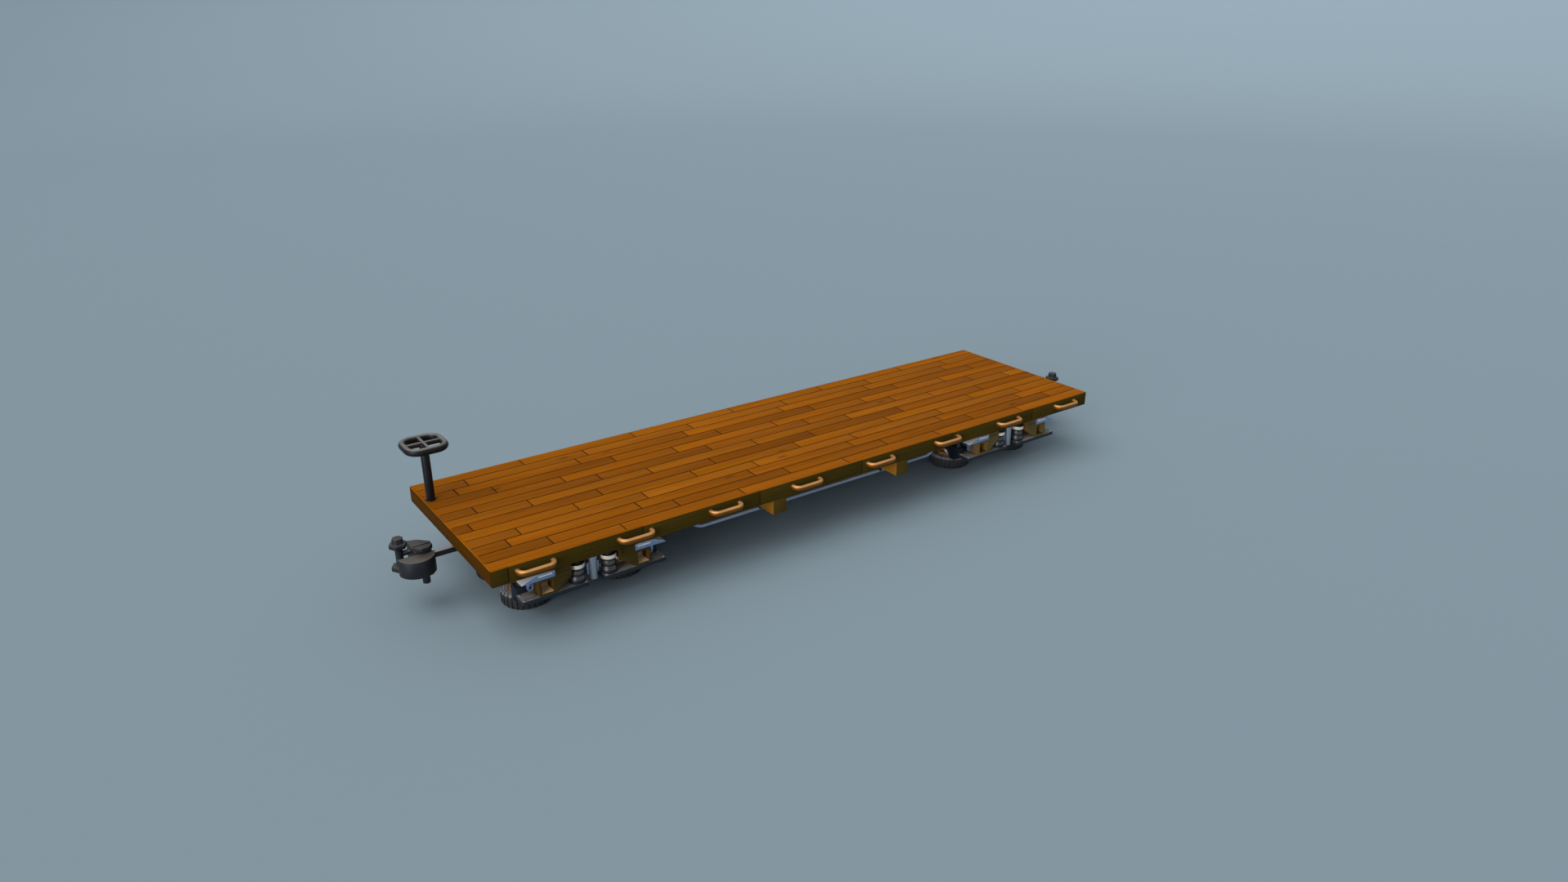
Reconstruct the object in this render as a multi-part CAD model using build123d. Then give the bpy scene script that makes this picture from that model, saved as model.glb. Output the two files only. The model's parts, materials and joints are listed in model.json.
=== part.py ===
"""A wooden flatcar on two swivelling trucks, with a hand brake and a coupler at each end.

Millimetres. X runs along the car, Y across it and Z up. The origin is on the floor, under the
middle of the car. End b is the brake end, at -X, and end a is the other. Left is +Y, right is -Y.
"""

import math
import os

from build123d import *

# Deck: boards laid lengthwise on a timber frame, with facing boards around the edge
DECK_LENGTH = 9370.0
DECK_WIDTH = 2600.0
DECK_TOP = 985.0
DECK_DEPTH = 196.0
BOARD_ROWS = 13
BOARD_LENGTH = 1600.0
BOARD_THICK = 46.0
BOARD_GAP = 3.0
SHORTEST_BOARD = 80.0
# First butt joint of each row from the brake end, in eighths of a board, from the left side
ROW_JOINTS = (7, 3, 2, 4, 0, 2, 5, 1)
FACING_THICK = 25.0
SIDE_JOINT = 189.0
END_JOINT = 408.0

# Timber frame under the boards
SILL_WIDTH = 120.0
LONG_SILL_DEPTH = 60.0
CENTRE_SILL_Y = 210.0
TRUSS_SILL_Y = 856.0
JOIST_WIDTH = 100.0
INNER_JOISTS = 8
OUTER_JOISTS = 1
NEEDLE_X = 1000.0
NEEDLE_WIDTH = 200.0
NEEDLE_DEPTH = 192.0

# Truss rods and the posts that hold them below the needle beams
ROD_RADIUS = 22.0
ROD_DROP = 294.0
ROD_END_GAP = 1020.0
ROD_RISE_LENGTH = 485.0
ROD_BEND_RADIUS = 160.0
ROD_PAD_LENGTH = 150.0
ROD_PAD_WIDTH = 90.0
ROD_PAD_THICK = 34.0
POST_FOOT = 130.0
POST_FOOT_THICK = 18.0
POST_RADIUS = 32.0

# Grab handles along both sides
HANDLES_PER_SIDE = 8
HANDLE_FIRST = 489.0
HANDLE_DROP = 84.0
HANDLE_SPAN = 420.0
HANDLE_REACH = 105.0
HANDLE_BEND = 85.0
HANDLE_RADIUS = 27.0

# Truck centres, set in from the ends of the deck, and the pivot that each truck turns on
TRUCK_INSET = 1295.0
BODY_BOLSTER_WIDTH = 240.0
CENTRE_PLATE_RADIUS = 165.0
CENTRE_PLATE_DEPTH = 36.0
KING_PIN_RADIUS = 40.0
KING_PIN_LENGTH = 150.0
BOWL_RADIUS = 190.0
BOWL_LIP = 12.0
BOWL_DEPTH = 65.0
BOWL_PLAY = 3.0

# Truck side frames, measured from the truck's centre
SIDE_INNER_Y = 870.0
SIDE_OUTER_Y = 1070.0
PLATE_START = 100.0
PLATE_END = 900.0
PLATE_TOP = 365.0
PLATE_THICK = 48.0
PAD_X = 775.0
PAD_RADIUS = 65.0
PAD_RISE = 6.0
TOP_BAR_GAP = 19.0
TOP_BAR_THICK = 30.0
BLOCK_INNER = 300.0
BLOCK_WIDTH = 200.0
BOX_HEIGHT = 202.0
BLOCK_HEEL = 152.0
WINDOW_WALL = 30.0
WINDOW_DEPTH = 160.0
PANEL_MARGIN = 20.0
PANEL_FOOT = 28.0
PANEL_DEPTH = 8.0
WEDGE_HEIGHT = 72.0
WEDGE_WIDTH = 150.0
WEDGE_FLAT = 240.0
WEDGE_NOSE = 8.0
EYE_X = 750.0
EYE_Z = 445.0
EYE_RADIUS = 42.0
EYE_HOLE = 20.0
EYE_THICK = 30.0
COLUMN_RADIUS = 50.0
COLUMN_Y = 970.0
COLUMN_FOOT = 338.0
SPRING_X = 200.0
BOLSTER_WIDTH = 150.0
BOLSTER_FOOT = 400.0
BOLSTER_DEPTH = 140.0
BOLSTER_HUMP_FOOT = 420.0
BOLSTER_HUMP_TOP = 180.0

# Spring stack: foot radius, head radius and height of each ring, from the plate up
SPRING_RINGS = (
    (95.0, 95.0, 45.0),
    (92.0, 86.0, 47.0),
    (76.0, 76.0, 22.0),
    (86.0, 80.0, 47.0),
    (76.0, 76.0, 28.0),
    (92.0, 92.0, 46.0),
)
SPRING_STEM = 50.0

# Wheels lie flat on upright pins, under carriers bolted to the inside of the side frames
WHEEL_X = 596.0
WHEEL_Y = 388.0
PIN_RADIUS = 35.0
PIN_END = 40.0
HUB_FOOT = 45.0
HUB_TOP = 220.0
HUB_RADIUS = 80.0
HUB_PLAY = 5.0
WEB_FOOT = 75.0
WEB_THICK = 25.0
RIM_RADIUS = 190.0
RIM_WALL = 18.0
RIM_FOOT = 16.0
TYRE_RADIUS = 297.0
TYRE_WIDTH = 176.0
TREAD_WIDTH = 148.0
LUG_COUNT = 28
LUG_DEPTH = 14.0
LUG_SHARE = 0.58
SIDEWALL_FLATS = 18
SHOULDER_RADIUS = 272.0
SIDEWALL_RADIUS = 248.0
CARRIER_START = 720.0
CARRIER_END = 880.0
CARRIER_INNER_Y = 690.0
CARRIER_FOOT = 300.0
CARRIER_TOP = 430.0
ARM_TOP = 345.0
ARM_RADIUS = 75.0
CORNER_POST_X = 800.0
CORNER_POST_Y = 770.0
CORNER_POST_RADIUS = 48.0
CORNER_POST_GAP = 14.0

# Coupler, measured outwards from the end of the deck and downwards from its top
DRAWBAR_DROP = 300.0
DRAWBAR_RADIUS = 42.0
DRAWBAR_PIVOT = 400.0
DRAWBAR_EYE_RADIUS = 65.0
DRAWBAR_EYE_HEIGHT = 90.0
DRAWBAR_PIN_RADIUS = 30.0
POCKET_CHEEK = 25.0
POCKET_PLAY = 5.0
POCKET_REACH = 115.0
POCKET_WEB = 30.0
POCKET_HALF_WIDTH = 110.0
JAW_CENTRE = 380.0
JAW_RADIUS = 205.0
JAW_TOP_DROP = 250.0
JAW_HEIGHT = 200.0
BLOCK_CENTRE_Y = 130.0
BLOCK_RADIUS = 210.0
BLOCK_TOP_DROP = 225.0
BLOCK_HEIGHT = 325.0
CAP_CENTRE = 280.0
CAP_Y = 58.0
CAP_ACROSS = 200.0
CAP_THICK = 50.0
CAP_SLOT_WIDTH = 18.0
CAP_SLOT_DEPTH = 20.0
CAP_STEM_RADIUS = 43.5
CAP_STEM_LENGTH = 30.0
SPIGOT_CENTRE = 300.0
SPIGOT_RADIUS = 43.5
SPIGOT_DROP = 620.0
BOLT_REACH = 500.0
BOLT_Y = 220.0
BOLT_SHAFT_RADIUS = 43.5
BOLT_STAY_RADIUS = 32.0
# Bolt heads from the top down: width across flats, height and the drop of the upper face
BOLT_HEADS = ((110.0, 65.0, 95.0), (178.0, 50.0, 160.0), (186.0, 50.0, 438.0))

# Hand brake
STAFF_INSET = 90.0
STAFF_Y = 776.0
STAFF_RADIUS = 51.0
STAFF_HEIGHT = 660.0
COLLAR_WALL = 6.0
COLLAR_RISE = 3.0
HAND_WHEEL_ACROSS = 516.0
HAND_WHEEL_CORNER = 175.0
HAND_WHEEL_RING = 80.0
HAND_WHEEL_DEPTH = 90.0
HAND_WHEEL_CHAMFER = 26.0
SPOKE_RADIUS = 30.0
SPOKE_DROP = 6.0

# Clearances: a running fit on a pin, and pieces that seat without touching
RUNNING = 0.06
SEATED = 0.3

HALF_LENGTH = DECK_LENGTH / 2
HALF_WIDTH = DECK_WIDTH / 2
DECK_FOOT = DECK_TOP - DECK_DEPTH
FRAME_TOP = DECK_TOP - BOARD_THICK
FRAME_HALF_LENGTH = HALF_LENGTH - FACING_THICK
FRAME_HALF_WIDTH = HALF_WIDTH - FACING_THICK
INNER_HALF_LENGTH = FRAME_HALF_LENGTH - SILL_WIDTH
INNER_HALF_WIDTH = FRAME_HALF_WIDTH - SILL_WIDTH
TRUCK_X = HALF_LENGTH - TRUCK_INSET
ROD_END_X = TRUCK_X - ROD_END_GAP
ROD_BEND_X = ROD_END_X - ROD_RISE_LENGTH
BOLSTER_START = TRUCK_X - BODY_BOLSTER_WIDTH / 2
BOLSTER_END = TRUCK_X + BODY_BOLSTER_WIDTH / 2
CENTRE_PLATE_FOOT = DECK_FOOT - CENTRE_PLATE_DEPTH
BOWL_FLOOR = CENTRE_PLATE_FOOT - SEATED
TOP_BAR_TOP = DECK_FOOT - TOP_BAR_GAP
TOP_BAR_FOOT = TOP_BAR_TOP - TOP_BAR_THICK
BLOCK_MID = BLOCK_INNER + BLOCK_WIDTH
BLOCK_OUTER = BLOCK_MID + BLOCK_WIDTH
BOX_TOP = PLATE_TOP + BOX_HEIGHT
ROD_Z = DECK_FOOT - ROD_DROP
ARM_FOOT = HUB_TOP + HUB_PLAY
DRAWBAR_Z = DECK_TOP - DRAWBAR_DROP
STAFF_X = STAFF_INSET - HALF_LENGTH
COLLAR_RADIUS = STAFF_RADIUS + COLLAR_WALL


def span(x0, x1, y0, y1, z0, z1):
    """A square-edged block between two corners."""
    return Pos((x0 + x1) / 2, (y0 + y1) / 2, (z0 + z1) / 2) * Box(x1 - x0, y1 - y0, z1 - z0)


def rod(radius, x, y, z0, z1):
    """An upright round bar between two heights."""
    return Pos(x, y, (z0 + z1) / 2) * Cylinder(radius, z1 - z0)


def side_profile(points, y0, y1):
    """A flat outline of (x, z) points, made solid between two places across the car."""
    outline = make_face(Polyline(*points, close=True))
    return Pos(0, y0, 0) * extrude(Plane.XZ * outline, amount=-(y1 - y0))


def flat_outline(points, z0, z1):
    """A flat outline of (x, y) points, made solid between two heights."""
    return Pos(0, 0, z0) * extrude(make_face(Polyline(*points, close=True)), amount=z1 - z0)


def turned(points):
    """A solid of revolution about Z from a closed outline of (radius, z) points."""
    return revolve(Plane.XZ * make_face(Polyline(*points, close=True)), Axis.Z)


def both_sides(shape):
    return [shape, mirror(shape, about=Plane.XZ)]


def both_ends(shape):
    return [shape, mirror(shape, about=Plane.YZ)]


def four_corners(shape):
    return [copy for half in both_sides(shape) for copy in both_ends(half)]


def write(name, shapes):
    solids = [solid for shape in shapes for solid in shape.solids()]
    export_step(Compound(solids), f"parts/{name}.step")


def spaces(start, end, first, pitch):
    """Stretches between start and end, divided at first and at every pitch after it."""
    joints = [first + pitch * i for i in range(math.ceil((end - first) / pitch))]
    marks = [start, *(x for x in joints if start < x < end), end]
    return [pair for pair in zip(marks, marks[1:]) if pair[1] - pair[0] > SHORTEST_BOARD]


def deck_boards():
    """Rows of boards laid lengthwise, with a hole for the collar of the brake staff."""
    boards = []
    collar_hole = rod(COLLAR_RADIUS + SEATED, STAFF_X, STAFF_Y, 0, 2 * DECK_TOP)
    row_width = DECK_WIDTH / BOARD_ROWS
    for row in range(BOARD_ROWS):
        y1 = min(HALF_WIDTH - row * row_width, FRAME_HALF_WIDTH) - BOARD_GAP / 2
        y0 = max(HALF_WIDTH - (row + 1) * row_width, -FRAME_HALF_WIDTH) + BOARD_GAP / 2
        first = ROW_JOINTS[row % len(ROW_JOINTS)] / 8 * BOARD_LENGTH - HALF_LENGTH
        for x0, x1 in spaces(-FRAME_HALF_LENGTH, FRAME_HALF_LENGTH, first, BOARD_LENGTH):
            board = span(x0 + BOARD_GAP / 2, x1 - BOARD_GAP / 2, y0, y1, FRAME_TOP, DECK_TOP)
            if x0 < STAFF_X < x1 and y0 < STAFF_Y < y1:
                board -= collar_hole
            boards.append(board)
    return boards


def facing_boards():
    """Boards on edge around the deck, butted every board's length, on the ends from the left side."""
    boards = []
    half_gap = BOARD_GAP / 2
    end_first = HALF_WIDTH - END_JOINT - BOARD_LENGTH
    height = (DECK_FOOT, DECK_TOP)
    for x0, x1 in spaces(-HALF_LENGTH, HALF_LENGTH, SIDE_JOINT - HALF_LENGTH, BOARD_LENGTH):
        boards += both_sides(span(x0 + half_gap, x1 - half_gap, FRAME_HALF_WIDTH, HALF_WIDTH, *height))
    for y0, y1 in spaces(-FRAME_HALF_WIDTH, FRAME_HALF_WIDTH, end_first, BOARD_LENGTH):
        boards += both_ends(span(FRAME_HALF_LENGTH, HALF_LENGTH, y0 + half_gap, y1 - half_gap, *height))
    return boards


def side_sills():
    length = (-INNER_HALF_LENGTH, INNER_HALF_LENGTH)
    return both_sides(span(*length, INNER_HALF_WIDTH, FRAME_HALF_WIDTH, DECK_FOOT, FRAME_TOP))


def end_sills():
    width = (-FRAME_HALF_WIDTH, FRAME_HALF_WIDTH)
    return both_ends(span(INNER_HALF_LENGTH, FRAME_HALF_LENGTH, *width, DECK_FOOT, FRAME_TOP))


def long_sills():
    """Lengthwise sills under the joists, in three lengths that butt on the body bolsters."""
    sills = []
    top = DECK_FOOT + LONG_SILL_DEPTH
    for y in (CENTRE_SILL_Y, TRUSS_SILL_Y):
        y0, y1 = y - SILL_WIDTH / 2, y + SILL_WIDTH / 2
        sills += both_sides(span(-BOLSTER_START, BOLSTER_START, y0, y1, DECK_FOOT, top))
        sills += four_corners(span(BOLSTER_END, INNER_HALF_LENGTH, y0, y1, DECK_FOOT, top))
    return sills


def joists():
    """Cross timbers that the boards lie on, spaced evenly between the bolsters and beyond them."""
    bays = (
        (-BOLSTER_START, BOLSTER_START, INNER_JOISTS),
        (BOLSTER_END, INNER_HALF_LENGTH, OUTER_JOISTS),
        (-INNER_HALF_LENGTH, -BOLSTER_END, OUTER_JOISTS),
    )
    timbers = []
    for start, end, count in bays:
        for i in range(count):
            x = start + (end - start) * (i + 1) / (count + 1)
            timbers.append(
                span(
                    x - JOIST_WIDTH / 2,
                    x + JOIST_WIDTH / 2,
                    -INNER_HALF_WIDTH,
                    INNER_HALF_WIDTH,
                    DECK_FOOT + LONG_SILL_DEPTH,
                    FRAME_TOP,
                )
            )
    return timbers


def body_bolsters():
    """Cross beam over each truck, with the centre plate and king pin that the truck turns on."""
    beam = span(BOLSTER_START, BOLSTER_END, -INNER_HALF_WIDTH, INNER_HALF_WIDTH, DECK_FOOT, FRAME_TOP)
    plate = rod(CENTRE_PLATE_RADIUS, TRUCK_X, 0, CENTRE_PLATE_FOOT, DECK_FOOT)
    pin = rod(KING_PIN_RADIUS, TRUCK_X, 0, CENTRE_PLATE_FOOT - KING_PIN_LENGTH, DECK_FOOT)
    return both_ends(beam + plate + pin)


def needle_beams():
    half = NEEDLE_WIDTH / 2
    return both_ends(
        span(NEEDLE_X - half, NEEDLE_X + half, -HALF_WIDTH, HALF_WIDTH, DECK_FOOT - NEEDLE_DEPTH, DECK_FOOT)
    )


def truss_rods():
    """A round rod under each side, bent down between the trucks and ending in pads on the sill."""
    end_z = DECK_FOOT - ROD_PAD_THICK / 2
    route = FilletPolyline(
        (-ROD_END_X, TRUSS_SILL_Y, end_z),
        (-ROD_BEND_X, TRUSS_SILL_Y, ROD_Z),
        (ROD_BEND_X, TRUSS_SILL_Y, ROD_Z),
        (ROD_END_X, TRUSS_SILL_Y, end_z),
        radius=ROD_BEND_RADIUS,
    )
    bar = sweep(Plane(route @ 0, z_dir=route % 0) * Circle(ROD_RADIUS), path=route)
    pad_y0, pad_y1 = TRUSS_SILL_Y - ROD_PAD_WIDTH / 2, TRUSS_SILL_Y + ROD_PAD_WIDTH / 2
    pad_start = ROD_END_X - ROD_PAD_LENGTH / 2
    pad = span(pad_start, pad_start + ROD_PAD_LENGTH, pad_y0, pad_y1, DECK_FOOT - ROD_PAD_THICK, DECK_FOOT)
    above = span(-HALF_LENGTH, HALF_LENGTH, -HALF_WIDTH, HALF_WIDTH, DECK_FOOT, DECK_TOP)
    return both_sides(bar + both_ends(pad) - above)


def queen_posts():
    """Short posts between the needle beams and the truss rods, hollowed to sit on the rod."""
    beam_foot = DECK_FOOT - NEEDLE_DEPTH
    foot = span(
        NEEDLE_X - POST_FOOT / 2,
        NEEDLE_X + POST_FOOT / 2,
        TRUSS_SILL_Y - POST_FOOT / 2,
        TRUSS_SILL_Y + POST_FOOT / 2,
        beam_foot - POST_FOOT_THICK,
        beam_foot,
    )
    stem = rod(POST_RADIUS, NEEDLE_X, TRUSS_SILL_Y, ROD_Z, beam_foot)
    seat = Pos(NEEDLE_X, TRUSS_SILL_Y, ROD_Z) * Rot(0, 90, 0) * Cylinder(ROD_RADIUS + SEATED, POST_FOOT * 2)
    return four_corners(foot + stem - seat)


def grab_handles():
    """Bars of eight flats bent out from the facing boards, evenly spaced along each side."""
    z = DECK_TOP - HANDLE_DROP
    half = HANDLE_SPAN / 2
    outer = HALF_WIDTH + HANDLE_REACH
    route = FilletPolyline(
        (-half, HALF_WIDTH, z),
        (-half, outer, z),
        (half, outer, z),
        (half, HALF_WIDTH, z),
        radius=HANDLE_BEND,
    )
    section = RegularPolygon(HANDLE_RADIUS, 8, rotation=22.5)
    bar = sweep(Plane(route @ 0, z_dir=route % 0) * section, path=route)
    pitch = (DECK_LENGTH - 2 * HANDLE_FIRST) / (HANDLES_PER_SIDE - 1)
    handles = []
    for i in range(HANDLES_PER_SIDE):
        handles += both_sides(Pos(HANDLE_FIRST - HALF_LENGTH + i * pitch, 0, 0) * bar)
    return handles


def draft_pockets():
    """A hanger under each end of the centre sills, with two cheeks and the drawbar's pin."""
    pivot = HALF_LENGTH - DRAWBAR_PIVOT
    gap = DRAWBAR_EYE_HEIGHT / 2 + POCKET_PLAY
    x0, x1 = pivot - POCKET_REACH, pivot + POCKET_REACH
    top, foot = DRAWBAR_Z + gap + POCKET_CHEEK, DRAWBAR_Z - gap - POCKET_CHEEK
    half = POCKET_HALF_WIDTH
    sill_edge = CENTRE_SILL_Y + SILL_WIDTH / 2
    upper = span(x0, x1, -half, half, DRAWBAR_Z + gap, top)
    lower = span(x0, x1, -half, half, foot, DRAWBAR_Z - gap)
    web = span(x0 - POCKET_WEB, x0, -half, half, foot, top)
    hanger = span(x0 - POCKET_WEB, x1, -sill_edge, sill_edge, top, DECK_FOOT)
    pin = rod(DRAWBAR_PIN_RADIUS, pivot, 0, foot, top)
    return both_ends(upper + lower + web + hanger + pin)


def truck_bolster():
    """Cross beam of a truck: deep under the pivot bowl, shallow at the columns."""
    half = BOLSTER_WIDTH / 2
    arm_top = BOLSTER_FOOT + BOLSTER_DEPTH
    bowl_top = BOWL_FLOOR + BOWL_LIP
    boss_foot = bowl_top - BOWL_DEPTH
    outline = (
        (-COLUMN_Y, BOLSTER_FOOT),
        (COLUMN_Y, BOLSTER_FOOT),
        (COLUMN_Y, arm_top),
        (BOLSTER_HUMP_FOOT, arm_top),
        (BOLSTER_HUMP_TOP, BOWL_FLOOR),
        (-BOLSTER_HUMP_TOP, BOWL_FLOOR),
        (-BOLSTER_HUMP_FOOT, arm_top),
        (-COLUMN_Y, arm_top),
    )
    end_face = Plane.YZ * make_face(Polyline(*outline, close=True))
    beam = Pos(-half, 0, 0) * extrude(end_face, amount=BOLSTER_WIDTH)
    beam += rod(BOWL_RADIUS, 0, 0, boss_foot, bowl_top)
    beam -= rod(CENTRE_PLATE_RADIUS + BOWL_PLAY, 0, 0, BOWL_FLOOR, bowl_top)
    beam -= rod(KING_PIN_RADIUS + RUNNING, 0, 0, BOLSTER_FOOT, bowl_top)
    for y in (COLUMN_Y, -COLUMN_Y):
        beam -= rod(COLUMN_RADIUS + SEATED, 0, y, COLUMN_FOOT, TOP_BAR_FOOT)
    return [beam]


def truck_columns():
    return both_sides(rod(COLUMN_RADIUS, 0, COLUMN_Y, COLUMN_FOOT, TOP_BAR_FOOT))


def truck_top_bars():
    return both_sides(span(-BLOCK_MID, BLOCK_MID, SIDE_INNER_Y, SIDE_OUTER_Y, TOP_BAR_FOOT, TOP_BAR_TOP))


def truck_plates():
    """Foot plates of the side frames, with a low round pad near the outer end."""
    middle_y = (SIDE_INNER_Y + SIDE_OUTER_Y) / 2
    plate = span(PLATE_START, PLATE_END, SIDE_INNER_Y, SIDE_OUTER_Y, PLATE_TOP - PLATE_THICK, PLATE_TOP)
    pad = rod(PAD_RADIUS, PAD_X, middle_y, PLATE_TOP - PLATE_THICK, PLATE_TOP + PAD_RISE)
    return four_corners(plate + pad)


def truck_blocks():
    """Timber blocks between plate and top bar: a boxed foot, and a shoulder that leans inwards."""
    outline = (
        (BLOCK_MID, PLATE_TOP),
        (BLOCK_OUTER, PLATE_TOP),
        (BLOCK_OUTER, BOX_TOP),
        (BLOCK_MID, BOX_TOP),
        (BLOCK_MID, TOP_BAR_FOOT),
        (BLOCK_INNER, TOP_BAR_FOOT),
        (BLOCK_INNER, PLATE_TOP + BLOCK_HEEL),
    )
    block = side_profile(outline, SIDE_INNER_Y, SIDE_OUTER_Y)
    block -= span(
        BLOCK_MID + WINDOW_WALL,
        BLOCK_OUTER - WINDOW_WALL,
        SIDE_OUTER_Y - WINDOW_DEPTH,
        SIDE_OUTER_Y,
        PLATE_TOP + WINDOW_WALL,
        BOX_TOP - WINDOW_WALL,
    )
    block -= span(
        BLOCK_INNER + PANEL_MARGIN,
        BLOCK_MID - PANEL_MARGIN,
        SIDE_OUTER_Y - PANEL_DEPTH,
        SIDE_OUTER_Y,
        BOX_TOP + PANEL_FOOT,
        TOP_BAR_FOOT - PANEL_MARGIN,
    )
    return four_corners(block)


def truck_wedges():
    """Steel wedges on the boxed feet, level over the timber and falling to a nose."""
    outline = (
        (BLOCK_MID, BOX_TOP),
        (PLATE_END, BOX_TOP),
        (PLATE_END, BOX_TOP + WEDGE_NOSE),
        (BLOCK_MID + WEDGE_FLAT, BOX_TOP + WEDGE_HEIGHT),
        (BLOCK_MID, BOX_TOP + WEDGE_HEIGHT),
    )
    return four_corners(side_profile(outline, SIDE_OUTER_Y - WEDGE_WIDTH, SIDE_OUTER_Y))


def truck_eyes():
    """Lashing eyes that hang below the wedges, just outside the timber."""
    y = SIDE_OUTER_Y - WEDGE_WIDTH + EYE_THICK / 2
    lie = Pos(EYE_X, y, EYE_Z) * Rot(90, 0, 0)
    ring = lie * Cylinder(EYE_RADIUS, EYE_THICK)
    neck = span(EYE_X - EYE_RADIUS, EYE_X + EYE_RADIUS, y - EYE_THICK / 2, y + EYE_THICK / 2, EYE_Z, BOX_TOP)
    return four_corners(ring + neck - lie * Cylinder(EYE_HOLE, EYE_THICK * 2))


def truck_springs():
    """Stacks of rings and cushions on the plates, with a stem up to the top bar."""
    outline = [(0, PLATE_TOP)]
    z = PLATE_TOP
    for foot, head, height in SPRING_RINGS:
        outline += [(foot, z), (head, z + height)]
        z += height
    outline += [(SPRING_STEM, z), (SPRING_STEM, TOP_BAR_FOOT), (0, TOP_BAR_FOOT)]
    distinct_points = dict.fromkeys(outline)
    return four_corners(Pos(SPRING_X, COLUMN_Y, 0) * turned(distinct_points))


def truck_carriers():
    """Castings on the inside of the plates: a block with a corner post, and an arm to the wheel's pin."""
    base = span(CARRIER_START, CARRIER_END, CARRIER_INNER_Y, SIDE_INNER_Y, CARRIER_FOOT, CARRIER_TOP)
    arm = flat_outline(
        (
            (CARRIER_START, CARRIER_INNER_Y + ARM_RADIUS),
            (CARRIER_END, CARRIER_INNER_Y + ARM_RADIUS),
            (CARRIER_END, CARRIER_INNER_Y),
            (WHEEL_X + ARM_RADIUS, WHEEL_Y),
            (WHEEL_X - ARM_RADIUS, WHEEL_Y),
        ),
        ARM_FOOT + HUB_PLAY,
        ARM_TOP,
    )
    boss = rod(ARM_RADIUS, WHEEL_X, WHEEL_Y, ARM_FOOT, ARM_TOP)
    pin = rod(PIN_RADIUS, WHEEL_X, WHEEL_Y, PIN_END, ARM_TOP)
    post = rod(CORNER_POST_RADIUS, CORNER_POST_X, CORNER_POST_Y, CARRIER_FOOT, DECK_FOOT - CORNER_POST_GAP)
    return four_corners(base + arm + boss + pin + post)


def ring_points(count, radius):
    return [
        (radius * math.cos(2 * math.pi * i / count), radius * math.sin(2 * math.pi * i / count))
        for i in range(count)
    ]


def tyre():
    """A lugged tyre lying flat: bars across the tread, sloping shoulders and a flat sidewall."""
    step = 2 * math.pi / LUG_COUNT
    valley = TYRE_RADIUS - LUG_DEPTH
    tread = []
    for i in range(LUG_COUNT):
        for share, radius in ((0, valley), (0, TYRE_RADIUS), (LUG_SHARE, TYRE_RADIUS), (LUG_SHARE, valley)):
            angle = (i + share) * step
            tread.append((radius * math.cos(angle), radius * math.sin(angle)))
    tread_foot = (TYRE_WIDTH - TREAD_WIDTH) / 2
    body = flat_outline(tread, tread_foot, TYRE_WIDTH - tread_foot)
    shoulder = Polygon(*ring_points(SIDEWALL_FLATS, SHOULDER_RADIUS), align=None)
    sidewall = Polygon(*ring_points(SIDEWALL_FLATS, SIDEWALL_RADIUS), align=None)
    sections = [Pos(0, 0, TYRE_WIDTH - tread_foot) * shoulder, Pos(0, 0, TYRE_WIDTH) * sidewall]
    bulge = loft(sections, ruled=True)
    body += bulge
    body += Pos(0, 0, TYRE_WIDTH) * Rot(180, 0, 0) * bulge
    bore = (RIM_RADIUS + SEATED) / math.cos(math.pi / SIDEWALL_FLATS)
    return body - flat_outline(ring_points(SIDEWALL_FLATS, bore), 0, TYRE_WIDTH)


def rim():
    """The wheel's barrel, web and hub, turned in one piece and bored for the pin."""
    bore = PIN_RADIUS + RUNNING
    barrel = RIM_RADIUS - RIM_WALL
    return turned(
        (
            (bore, HUB_FOOT),
            (HUB_RADIUS, HUB_FOOT),
            (HUB_RADIUS, WEB_FOOT),
            (barrel, WEB_FOOT),
            (barrel, RIM_FOOT),
            (RIM_RADIUS, RIM_FOOT),
            (RIM_RADIUS, TYRE_WIDTH),
            (barrel, TYRE_WIDTH),
            (barrel, WEB_FOOT + WEB_THICK),
            (HUB_RADIUS, WEB_FOOT + WEB_THICK),
            (HUB_RADIUS, HUB_TOP),
            (bore, HUB_TOP),
        )
    )


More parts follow.
